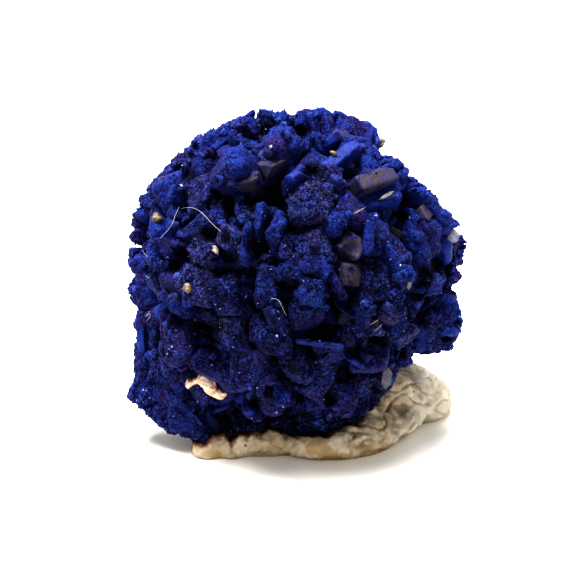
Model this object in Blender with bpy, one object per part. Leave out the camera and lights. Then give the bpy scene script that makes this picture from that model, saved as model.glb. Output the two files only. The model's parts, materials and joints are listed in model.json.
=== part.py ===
"""A nodule of intergrown azurite crystals, standing in a wad of display putty.

Metres, +Z up. The origin is on the surface it stands on, under the nodule's centre, and the
specimen's front faces -Y. Sizes below are written in millimetres and turned into metres by MM.
"""

import math
import random

import bmesh
import bpy
from mathutils import Matrix, Vector
from mathutils.bvhtree import BVHTree

MM = 0.001

# The nodule: its half widths over the crystals' tips, and the height of its centre.
NODULE_RADII = Vector((9.6, 8.9, 9.3))
NODULE_CENTRE = Vector((0.0, 0.0, 10.3))
# Crystals stand this far out of the ground body that they grow from, and are rooted this far in it.
RELIEF = 1.35
ROOT = 0.9
GROUND_SUBDIVISIONS = 3

# The front's crystals are laid out face-on, on a plane through the nodule's centre that leans back.
DISPLAY_TILT = math.radians(22)
RIGHT = Vector((1, 0, 0))
UP = Vector((0, math.sin(DISPLAY_TILT), math.cos(DISPLAY_TILT)))
OUT = Vector((0, -math.cos(DISPLAY_TILT), math.sin(DISPLAY_TILT)))

# Swellings and hollows of the ground body: across and up on the display plane, how far towards
# the viewer, the height of the swelling, and the half angle that it covers, in degrees.
SWELLINGS = (
    (-7.2, -8.0, 1.5, 2.2, 15),
    (-7.6, 6.6, 0.0, 0.5, 12),
    (6.9, 5.7, 0.0, -1.7, 20),
    (9.0, 0.5, 0.5, 0.3, 15),
    (8.6, -4.4, 0.5, 0.9, 13),
    (6.3, -6.8, 0.0, -1.0, 12),
    (3.0, -8.8, 0.0, 0.9, 17),
    (-1.0, -9.2, 0.0, 0.7, 16),
    (-8.2, -3.8, -0.5, -0.3, 12),
)

# The front's main crystals, from the top down: across and up from the nodule's centre, breadth,
# length, the lean of the length clockwise from upright in degrees, how far it stands out of the
# ground body, and its form.
FRONT_CRYSTALS = (
    (-1.9, 8.6, 1.7, 1.4, 0, 1.3, "lump"),
    (1.1, 8.4, 2.6, 2.1, 10, 1.5, "lump"),
    (3.9, 7.8, 2.5, 2.0, 30, 1.5, "lump"),
    (-3.9, 7.2, 1.1, 3.2, 55, 1.4, "blade"),
    (-5.8, 7.3, 1.2, 1.5, -20, 1.3, "blade"),
    (-0.5, 7.6, 1.6, 1.6, 20, 1.4, "lump"),
    (0.7, 6.8, 1.7, 1.6, -30, 1.6, "lump"),
    (2.3, 6.9, 0.7, 1.9, 35, 1.7, "blade"),
    (3.1, 6.5, 1.0, 2.6, 35, 1.8, "blade"),
    (4.3, 6.3, 1.7, 2.8, 60, 1.6, "block"),
    (-3.1, 6.4, 1.9, 1.6, 15, 1.5, "lump"),
    (-7.1, 6.1, 1.6, 1.7, -40, 1.2, "lump"),
    (-5.6, 5.9, 1.9, 1.7, 70, 1.5, "lump"),
    (-1.1, 6.0, 1.3, 2.3, 40, 1.7, "block"),
    (6.0, 5.4, 2.1, 2.1, 40, 1.1, "lump"),
    (2.5, 5.4, 2.1, 1.5, 80, 1.4, "lump"),
    (-3.3, 5.1, 1.4, 2.5, 82, 1.7, "block"),
    (4.6, 4.7, 1.6, 3.6, 57, 1.9, "block"),
    (-8.1, 4.6, 1.7, 1.9, -50, 1.3, "block"),
    (-6.4, 4.3, 2.0, 1.7, 80, 1.3, "lump"),
    (0.9, 4.1, 2.8, 3.3, 5, 1.9, "cube"),
    (7.5, 4.0, 1.7, 3.6, -48, 1.1, "block"),
    (-8.6, 3.2, 1.2, 2.0, 60, 1.3, "block"),
    (7.1, 3.1, 2.1, 2.0, 25, 1.7, "cube"),
    (-4.9, 3.2, 2.4, 2.0, 70, 1.0, "lump"),
    (4.6, 3.0, 1.6, 2.5, 75, 1.3, "lump"),
    (8.7, 2.5, 1.6, 1.9, 30, 1.4, "block"),
    (2.4, 2.5, 2.0, 1.8, 40, 1.9, "cube"),
    (-7.4, 2.3, 2.2, 1.9, 70, 1.5, "lump"),
    (-2.5, 2.7, 2.3, 2.0, 75, 1.5, "lump"),
    (-9.1, 1.6, 1.5, 1.9, 0, 1.2, "lump"),
    (7.0, 1.4, 1.9, 2.5, -20, 1.7, "lump"),
    (-0.7, 1.6, 1.1, 2.3, -65, 1.4, "blade"),
    (3.5, 1.2, 1.9, 2.0, 45, 1.8, "block"),
    (9.5, 0.8, 1.2, 2.0, -25, 1.2, "blade"),
    (8.4, 0.3, 1.8, 2.2, 95, 1.1, "block"),
    (-7.4, 0.5, 2.4, 2.0, 60, 1.5, "lump"),
    (-5.4, 1.2, 1.8, 2.1, 10, 1.5, "lump"),
    (-3.0, 0.7, 2.3, 2.4, -15, 1.6, "lump"),
    (-9.5, -0.2, 1.5, 1.9, 0, 1.2, "lump"),
    (1.3, 0.5, 1.7, 1.6, 30, 1.5, "block"),
    (-0.4, -0.1, 1.7, 1.9, -10, 1.5, "cube"),
    (5.1, -0.4, 2.8, 3.1, 15, 2.1, "lump"),
    (2.3, -0.8, 1.0, 3.0, -28, 1.5, "blade"),
    (7.0, -1.2, 1.2, 2.0, 8, 1.6, "block"),
    (-3.9, -1.3, 1.5, 2.0, -20, 1.1, "block"),
    (-1.9, -1.6, 1.6, 2.8, 5, 1.5, "lump"),
    (-6.3, -1.3, 2.7, 3.1, 25, 1.8, "lump"),
    (0.6, -1.9, 2.0, 1.9, 15, 1.7, "cube"),
    (-9.1, -1.9, 1.6, 1.9, -15, 1.2, "lump"),
    (4.2, -2.3, 1.3, 3.6, 97, 1.9, "blade"),
    (9.2, -2.0, 1.5, 1.7, 10, 1.3, "lump"),
    (8.1, -3.1, 2.2, 2.4, 0, 1.5, "lump"),
    (5.9, -3.5, 2.2, 1.9, -30, 1.4, "lump"),
    (3.3, -3.6, 1.2, 2.4, 72, 1.4, "blade"),
    (-1.1, -3.4, 1.9, 1.8, 40, 1.5, "block"),
    (-4.1, -3.4, 2.7, 2.1, -20, 1.5, "lump"),
    (-8.9, -3.9, 1.4, 2.8, 0, 0.9, "block"),
    (8.2, -4.9, 1.8, 2.8, 95, 1.4, "lump"),
    (1.6, -4.3, 0.8, 2.8, -72, 1.6, "blade"),
    (-6.9, -4.4, 2.3, 2.8, 8, 1.6, "cube"),
    (3.8, -5.2, 0.8, 2.6, -55, 1.7, "blade"),
    (-2.9, -5.5, 2.8, 3.2, 15, 1.8, "lump"),
    (0.0, -5.5, 1.8, 1.9, 25, 1.4, "block"),
    (6.0, -5.5, 1.6, 2.0, 70, 1.2, "lump"),
    (5.2, -6.7, 1.0, 1.8, 12, 1.2, "block"),
    (-7.9, -6.2, 2.2, 2.0, 75, 1.4, "lump"),
    (1.5, -7.0, 3.2, 2.6, 60, 1.5, "lump"),
    (4.0, -8.0, 2.1, 2.4, 20, 1.3, "lump"),
    (-2.0, -8.0, 1.9, 3.2, 80, 1.4, "lump"),
    (-4.7, -8.5, 1.8, 2.6, 72, 1.2, "block"),
    (-8.6, -6.7, 1.7, 2.1, -50, 1.2, "block"),
    (-7.2, -8.0, 2.0, 2.7, -47, 1.4, "cube"),
    (-6.2, -9.4, 1.6, 1.8, -50, 1.0, "block"),
)

# Crystals all over the rest of the nodule, on points spread evenly over it.
FILL_POINTS = 176
FILL_SEED = 11
FILL_BREADTH = (1.5, 2.9)
FILL_LENGTH = (1.7, 3.3)
FILL_STAND = (0.7, 1.4)
# A fill crystal is left out where it would grow into a main crystal's middle.
MAIN_CLEARANCE = 0.66
# Below this height the nodule is bedded in the putty, and its crystals stand out by less.
BEDDED_HEIGHT = 4.0
BEDDED_STAND = 0.6

# The putty: dabs pressed together, each with its place, half widths and height.
PUTTY_DABS = (
    (1.4, 0.9, 6.6, 5.2, 2.2),
    (1.9, -1.9, 4.4, 3.0, 1.9),
    (-2.0, -1.7, 3.8, 2.8, 2.0),
    (-4.3, -0.2, 2.3, 2.5, 2.2),
    (6.9, 2.6, 2.7, 3.1, 3.2),
)
DAB_SUBDIVISIONS = 3
# The lower part of every dab that is pressed flat, as a part of its half height.
DAB_PRESSED = 0.4
# The bed that the nodule has pressed in the putty reaches this far out from the ground body.
BED_REACH = 1.25
FLOOR_CUTTER_SIZE = 30

# The remnant of host rock, wedged between crystals at the lower left: across and up on the
# display plane, breadth, length and depth, lean, and how far it stands out of the ground body.
REMNANT_PLACE = (-5.3, -6.7)
REMNANT_SIZE = (1.1, 2.1, 1.5)
REMNANT_LEAN = -62
REMNANT_STAND = 1.1
REMNANT_SEED = 4
CLEARANCE = 0.3


def clear_scene():
    for obj in list(bpy.data.objects):
        bpy.data.objects.remove(obj)


def new_collection(name):
    collection = bpy.data.collections.new(name)
    bpy.context.scene.collection.children.link(collection)
    return collection


def material(name, colour, roughness):
    made = bpy.data.materials.new(name)
    made.use_nodes = True
    shader = made.node_tree.nodes["Principled BSDF"]
    shader.inputs["Base Color"].default_value = (*colour, 1)
    shader.inputs["Roughness"].default_value = roughness
    shader.inputs["Metallic"].default_value = 0.0
    made.diffuse_color = (*colour, 1)
    return made


def object_from(bm, name, collection, finish=None):
    """A new object with bm's mesh, which is in millimetres."""
    bmesh.ops.recalc_face_normals(bm, faces=bm.faces)
    bmesh.ops.scale(bm, vec=(MM, MM, MM), verts=bm.verts)
    mesh = bpy.data.meshes.new(name)
    bm.to_mesh(mesh)
    bm.free()
    if finish is not None:
        mesh.materials.append(finish)
    obj = bpy.data.objects.new(name, mesh)
    collection.objects.link(obj)
    return obj


def hide_cutter(obj):
    obj.hide_render = True
    obj.display_type = "WIRE"


def join_by(obj, operation, other, within_itself=False):
    """A Boolean on obj. With within_itself, shells of the other mesh that cross are joined too."""
    boolean = obj.modifiers.new(operation.lower(), "BOOLEAN")
    boolean.operation = operation
    boolean.solver = "EXACT"
    boolean.object = other
    boolean.use_self = within_itself


def on_display(across, up, out=0.0):
    """A point given face-on: across and up on the display plane, and out towards the viewer."""
    return NODULE_CENTRE + RIGHT * across + UP * up + OUT * out


def ground_radius(direction):
    """How far the ground body reaches from the nodule's centre in a direction of unit length."""
    radii = NODULE_RADII - Vector((RELIEF, RELIEF, RELIEF))
    reach = 1 / math.sqrt(sum((direction[i] / radii[i]) ** 2 for i in range(3)))
    for across, up, out, height, spread in SWELLINGS:
        towards = (on_display(across, up, out) - NODULE_CENTRE).normalized()
        angle = math.degrees(direction.angle(towards))
        reach += height * math.exp(-((angle / spread) ** 2))
    return reach


def nodule_shell(extra):
    """The ground body's form, grown by extra."""
    bm = bmesh.new()
    bmesh.ops.create_icosphere(bm, subdivisions=GROUND_SUBDIVISIONS, radius=1)
    for vert in bm.verts:
        direction = vert.co.normalized()
        vert.co = NODULE_CENTRE + direction * (ground_radius(direction) + extra)
    return bm


def turned(axis_out, axis_long, centre):
    """The matrix that lays X across, Y along the length and Z outwards at centre."""
    axis_across = axis_long.cross(axis_out).normalized()
    axis_long = axis_out.cross(axis_across).normalized()
    turn = Matrix((axis_across, axis_long, axis_out)).transposed().to_4x4()
    return Matrix.Translation(centre) @ turn


def add_lump(bm, size, chance):
    """A rounded, coarsely faceted lump that fills a box of this size."""
    made = bmesh.ops.create_icosphere(bm, subdivisions=1, radius=0.58)["verts"]
    for vert in made:
        vert.co *= chance.uniform(0.82, 1.08)
    spin = Matrix.Rotation(chance.uniform(0, math.pi), 3, "Z")
    bmesh.ops.rotate(bm, cent=(0, 0, 0), matrix=spin, verts=made)
    bmesh.ops.scale(bm, vec=size, verts=made)
    return made


def add_cube(bm, size, chance):
    """A block with its outer edges cut off, wider at the foot."""
    made = bmesh.ops.create_cube(bm, size=1)["verts"]
    top = [vert for vert in made if vert.co.z > 0]
    bmesh.ops.scale(bm, vec=(0.86, 0.86, 1), verts=top)
    rim = list(dict.fromkeys(edge for vert in top for edge in vert.link_edges))
    cut = bmesh.ops.bevel(
        bm,
        geom=rim,
        offset=chance.uniform(0.1, 0.16),
        offset_type="OFFSET",
        segments=1,
        profile=0.5,
        affect="EDGES",
        material=-1,
    )
    kept = [vert for vert in made if vert.is_valid]
    made = list(dict.fromkeys(kept + cut["verts"]))
    bmesh.ops.scale(bm, vec=size, verts=made)
    return made


def add_block(bm, size, chance):
    """A block whose outer end is a slanting face."""
    made = bmesh.ops.create_cube(bm, size=1)["verts"]
    top = [vert for vert in made if vert.co.z > 0]
    bmesh.ops.scale(bm, vec=(chance.uniform(0.6, 0.85), 0.85, 1), verts=top)
    slope_x, slope_y = chance.uniform(-0.25, 0.25), chance.uniform(-0.3, 0.3)
    for vert in top:
        vert.co.z += slope_x * vert.co.x + slope_y * vert.co.y
    bmesh.ops.scale(bm, vec=size, verts=made)
    return made


def add_blade(bm, size, chance):
    """A six-sided tablet with a ridged outer edge."""
    made = bmesh.ops.create_cone(
        bm, cap_ends=True, segments=6, radius1=0.6, radius2=0.5, depth=1
    )["verts"]
    quarter = Matrix.Rotation(math.radians(90), 3, "Z")
    bmesh.ops.rotate(bm, cent=(0, 0, 0), matrix=quarter, verts=made)
    for vert in made:
        if vert.co.z > 0:
            vert.co.z -= chance.uniform(0.1, 0.3) * abs(vert.co.y)
    bmesh.ops.scale(bm, vec=size, verts=made)
    return made


FORMS = {"lump": add_lump, "cube": add_cube, "block": add_block, "blade": add_blade}


def add_crystal(bm, form, centre, out, along, breadth, length, stand, chance):
    """One crystal, rooted in the ground body RELIEF / 2 below centre and standing out of it."""
    size = Vector((breadth, length, stand + ROOT))
    middle = centre + out * ((stand - ROOT - RELIEF) / 2)
    verts = FORMS[form](bm, size, chance)
    tip = Matrix.Rotation(math.radians(chance.uniform(-9, 9)), 4, "X")
    bmesh.ops.transform(bm, matrix=turned(out, along, middle) @ tip, verts=verts)


def seat_on(shell, across, up):
    """Where the line of sight through a point of the display plane meets the shell, and the way
    out of it there. Beyond the outline, the shell's nearest point, and the way to that point."""
    aim = on_display(across, up)
    point, normal, _, _ = shell.ray_cast(aim + OUT * 4 * NODULE_RADII.x, -OUT)
    if point is not None:
        return point, normal
    point, normal, _, _ = shell.find_nearest(aim)
    return aim, ((aim - point).normalized() + normal).normalized()


def main_crystals(bm, shell, chance):
    """Adds the front's main crystals, and returns each one's middle and half width."""
    middles = []
    for across, up, breadth, length, lean, stand, form in FRONT_CRYSTALS:
        point, normal = seat_on(shell, across, up)
        way = math.radians(lean)
        along = RIGHT * math.sin(way) + UP * math.cos(way)
        out = (normal + OUT * 0.35).normalized()
        add_crystal(bm, form, point, out, along, breadth, length, stand, chance)
        middles.append((point, (breadth + length) / 4))
    return middles


def spread_points(count):
    """Directions spread evenly over a sphere, along a golden spiral."""
    golden = math.pi * (3 - math.sqrt(5))
    for i in range(count):
        z = 1 - 2 * (i + 0.5) / count
        ring = math.sqrt(1 - z * z)
        yield Vector((ring * math.cos(golden * i), ring * math.sin(golden * i), z))


def fill_crystals(bm, shell, middles, chance):
    """Adds crystals wherever the main ones leave the nodule bare."""
    for direction in spread_points(FILL_POINTS):
        shift = Vector([chance.uniform(-0.07, 0.07) for _ in range(3)])
        way = (direction + shift).normalized()
        point, normal, _, _ = shell.ray_cast(NODULE_CENTRE, way)
        form = chance.choice(("lump", "lump", "cube", "block", "block", "blade"))
        breadth, length = chance.uniform(*FILL_BREADTH), chance.uniform(*FILL_LENGTH)
        stand = chance.uniform(*FILL_STAND)
        along = Vector([chance.uniform(-1, 1) for _ in range(3)]).normalized()
        lean = Vector([chance.uniform(-0.3, 0.3) for _ in range(3)])
        reach = (breadth + length) / 4
        if any(
            (point - middle).length < MAIN_CLEARANCE * (half + reach)
            for middle, half in middles
        ):
            continue
        if form == "blade":
            breadth *= 0.55
        if point.z < BEDDED_HEIGHT:
            stand = min(stand, BEDDED_STAND)
        out = (normal + lean).normalized()
        add_crystal(bm, form, point, out, along, breadth, length, stand, chance)


def shells_of(bm):
    """The mesh's separate shells, each as a list of its faces."""
    left = set(bm.faces)
    shells = []
    while left:
        edge_on = [left.pop()]
        shell = []
        while edge_on:
            face = edge_on.pop()
            shell.append(face)
            for edge in face.edges:
                for other in edge.link_faces:
                    if other in left:
                        left.remove(other)
                        edge_on.append(other)
        shells.append(shell)
    return shells


def settle(obj):
    """Fixes obj's modifiers into its mesh, and fills the pockets sealed inside it."""
    graph = bpy.context.evaluated_depsgraph_get()
    bm = bmesh.new()
    bm.from_mesh(obj.evaluated_get(graph).to_mesh())
    obj.modifiers.clear()
    shells = sorted(shells_of(bm), key=len)
    pockets = [face for shell in shells[:-1] for face in shell]
    bmesh.ops.delete(bm, geom=pockets, context="FACES")
    bm.to_mesh(obj.data)
    bm.free()


def remnant_form(grown):
    """The remnant of host rock, grown by this much all round."""
    bm = bmesh.new()
    chance = random.Random(REMNANT_SEED)
    bmesh.ops.create_icosphere(bm, subdivisions=2, radius=0.5)
    for vert in bm.verts:
        vert.co *= chance.uniform(0.8, 1.15)
    size = Vector(REMNANT_SIZE) + 2 * Vector((grown, grown, grown))
    bmesh.ops.scale(bm, vec=size, verts=bm.verts)
    centre = remnant_centre()
    out = (centre - NODULE_CENTRE).normalized()
    way = math.radians(REMNANT_LEAN)
    along = RIGHT * math.sin(way) + UP * math.cos(way)
    bmesh.ops.transform(bm, matrix=turned(out, along, centre), verts=bm.verts)
    return bm


def remnant_centre():
    """Where the line of sight through the remnant's place meets the nodule."""
    seats = nodule_shell(REMNANT_STAND - REMNANT_SIZE[2] / 2)
    point, _ = seat_on(BVHTree.FromBMesh(seats), *REMNANT_PLACE)
    seats.free()
    return point


def build_remnant(parts):
    finish = material("host_rock", (0.45, 0.27, 0.2), 0.85)
    return object_from(remnant_form(0), "host_rock_remnant", parts, finish)


def build_azurite(parts, cutters):
    chance = random.Random(FILL_SEED)
    seats = nodule_shell(RELIEF / 2)
    shell = BVHTree.FromBMesh(seats)
    seats.free()
    crystals = bmesh.new()
    middles = main_crystals(crystals, shell, chance)
    middles.append((remnant_centre(), REMNANT_SIZE[0] / 2))
    fill_crystals(crystals, shell, middles, chance)
    crystal_obj = object_from(crystals, "crystal_shapes", cutters)
    hide_cutter(crystal_obj)
    socket = object_from(remnant_form(CLEARANCE), "remnant_socket", cutters)
    hide_cutter(socket)
    finish = material("azurite", (0.02, 0.045, 0.35), 0.55)
    azurite = object_from(nodule_shell(0), "azurite_cluster", parts, finish)
    join_by(azurite, "UNION", crystal_obj, within_itself=True)
    join_by(azurite, "DIFFERENCE", socket)
    settle(azurite)
    return azurite


def add_dab(bm, x, y, half_x, half_y, height):
    """A flattened ball of putty, which reaches a little below the floor."""
    made = bmesh.ops.create_icosphere(bm, subdivisions=DAB_SUBDIVISIONS, radius=1)["verts"]
    rise = height / (2 - DAB_PRESSED)
    bmesh.ops.scale(bm, vec=(half_x, half_y, rise), verts=made)
    bmesh.ops.translate(bm, vec=(x, y, height - rise), verts=made)


def build_putty(parts, cutters):
    first, *others = PUTTY_DABS
    wad = bmesh.new()
    add_dab(wad, *first)
    finish = material("putty", (0.62, 0.55, 0.42), 0.6)
    putty = object_from(wad, "mounting_putty", parts, finish)
    more = bmesh.new()
    for sizes in others:
        add_dab(more, *sizes)
    dabs = object_from(more, "putty_dabs", cutters)
    bed = object_from(nodule_shell(BED_REACH), "bed", cutters)
    box = bmesh.new()
    bmesh.ops.create_cube(box, size=FLOOR_CUTTER_SIZE)
    bmesh.ops.translate(box, vec=(0, 0, -FLOOR_CUTTER_SIZE / 2), verts=box.verts)
    floor = object_from(box, "floor_plane", cutters)
    for cutter in (dabs, bed, floor):
        hide_cutter(cutter)
    join_by(putty, "UNION", dabs, within_itself=True)
    join_by(putty, "DIFFERENCE", bed)
    join_by(putty, "DIFFERENCE", floor)
    settle(putty)
    for face in putty.data.polygons:
        face.use_smooth = True
    return putty


def main():
    clear_scene()
    parts = new_collection("azurite_specimen")
    cutters = new_collection("cutters")
    build_azurite(parts, cutters)
    build_remnant(parts)
    build_putty(parts, cutters)


main()
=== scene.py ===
import json
import math
import random

import bmesh
import bpy
import numpy as np
from mathutils import Matrix, Vector, noise
from mathutils.bvhtree import BVHTree

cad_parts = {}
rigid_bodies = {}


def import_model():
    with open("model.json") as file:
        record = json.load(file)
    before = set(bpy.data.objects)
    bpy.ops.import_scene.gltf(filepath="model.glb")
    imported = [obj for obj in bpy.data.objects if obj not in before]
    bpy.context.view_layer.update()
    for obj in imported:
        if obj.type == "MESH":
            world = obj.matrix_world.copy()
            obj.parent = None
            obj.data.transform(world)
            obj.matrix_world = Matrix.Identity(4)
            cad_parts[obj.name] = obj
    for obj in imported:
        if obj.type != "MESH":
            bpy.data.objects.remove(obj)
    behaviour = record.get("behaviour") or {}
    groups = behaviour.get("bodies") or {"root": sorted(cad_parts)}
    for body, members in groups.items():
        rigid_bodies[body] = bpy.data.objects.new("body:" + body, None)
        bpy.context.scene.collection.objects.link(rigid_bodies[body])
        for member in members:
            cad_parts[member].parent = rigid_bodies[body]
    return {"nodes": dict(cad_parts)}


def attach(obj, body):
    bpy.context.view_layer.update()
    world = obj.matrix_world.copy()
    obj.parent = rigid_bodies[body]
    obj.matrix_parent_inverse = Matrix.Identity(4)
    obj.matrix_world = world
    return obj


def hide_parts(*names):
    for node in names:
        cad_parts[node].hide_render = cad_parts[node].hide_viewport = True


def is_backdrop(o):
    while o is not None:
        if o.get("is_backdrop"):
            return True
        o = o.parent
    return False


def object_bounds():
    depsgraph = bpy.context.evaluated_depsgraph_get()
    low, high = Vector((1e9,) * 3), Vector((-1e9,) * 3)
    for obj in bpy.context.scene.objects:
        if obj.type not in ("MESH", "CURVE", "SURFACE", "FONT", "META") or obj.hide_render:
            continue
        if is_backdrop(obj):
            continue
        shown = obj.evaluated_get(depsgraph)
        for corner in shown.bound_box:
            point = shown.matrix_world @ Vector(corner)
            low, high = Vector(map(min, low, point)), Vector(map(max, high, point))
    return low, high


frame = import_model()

bl_info = {
    "name": "Azurite specimen",
    "version": (1, 0, 0),
    "blender": (4, 5, 0),
    "location": "3D View > Sidebar > Azurite",
    "description": "Dresses a packed azurite nodule and its putty with crust, crystals and grains",
    "category": "Add Mesh",
}

CAD_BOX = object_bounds()
MM = 0.001

# Shapes are worked out in millimetres. The front is laid out on a display plane through the
# nodule's centre that leans back, seen by an eye that stands straight off it.
NODULE_CENTRE = Vector((0.0, 0.0, 10.3))
NODULE_HALVES = (9.6, 8.9, 9.3)
DISPLAY_TILT = math.radians(22)
RIGHT = Vector((1, 0, 0))
UP = Vector((0, math.sin(DISPLAY_TILT), math.cos(DISPLAY_TILT)))
OUT = Vector((0, -math.cos(DISPLAY_TILT), math.sin(DISPLAY_TILT)))
# Where the camera aims on the display plane, how wide its frame is there, and its lens.
AIM_ACROSS = -0.55
AIM_UP = -1.25
FRAME_WIDTH = 33.35
LENS = 110
SENSOR = 36
EYE_DISTANCE = FRAME_WIDTH * LENS / SENSOR
AIM = NODULE_CENTRE + RIGHT * AIM_ACROSS + UP * AIM_UP
EYE = AIM + OUT * EYE_DISTANCE

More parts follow.
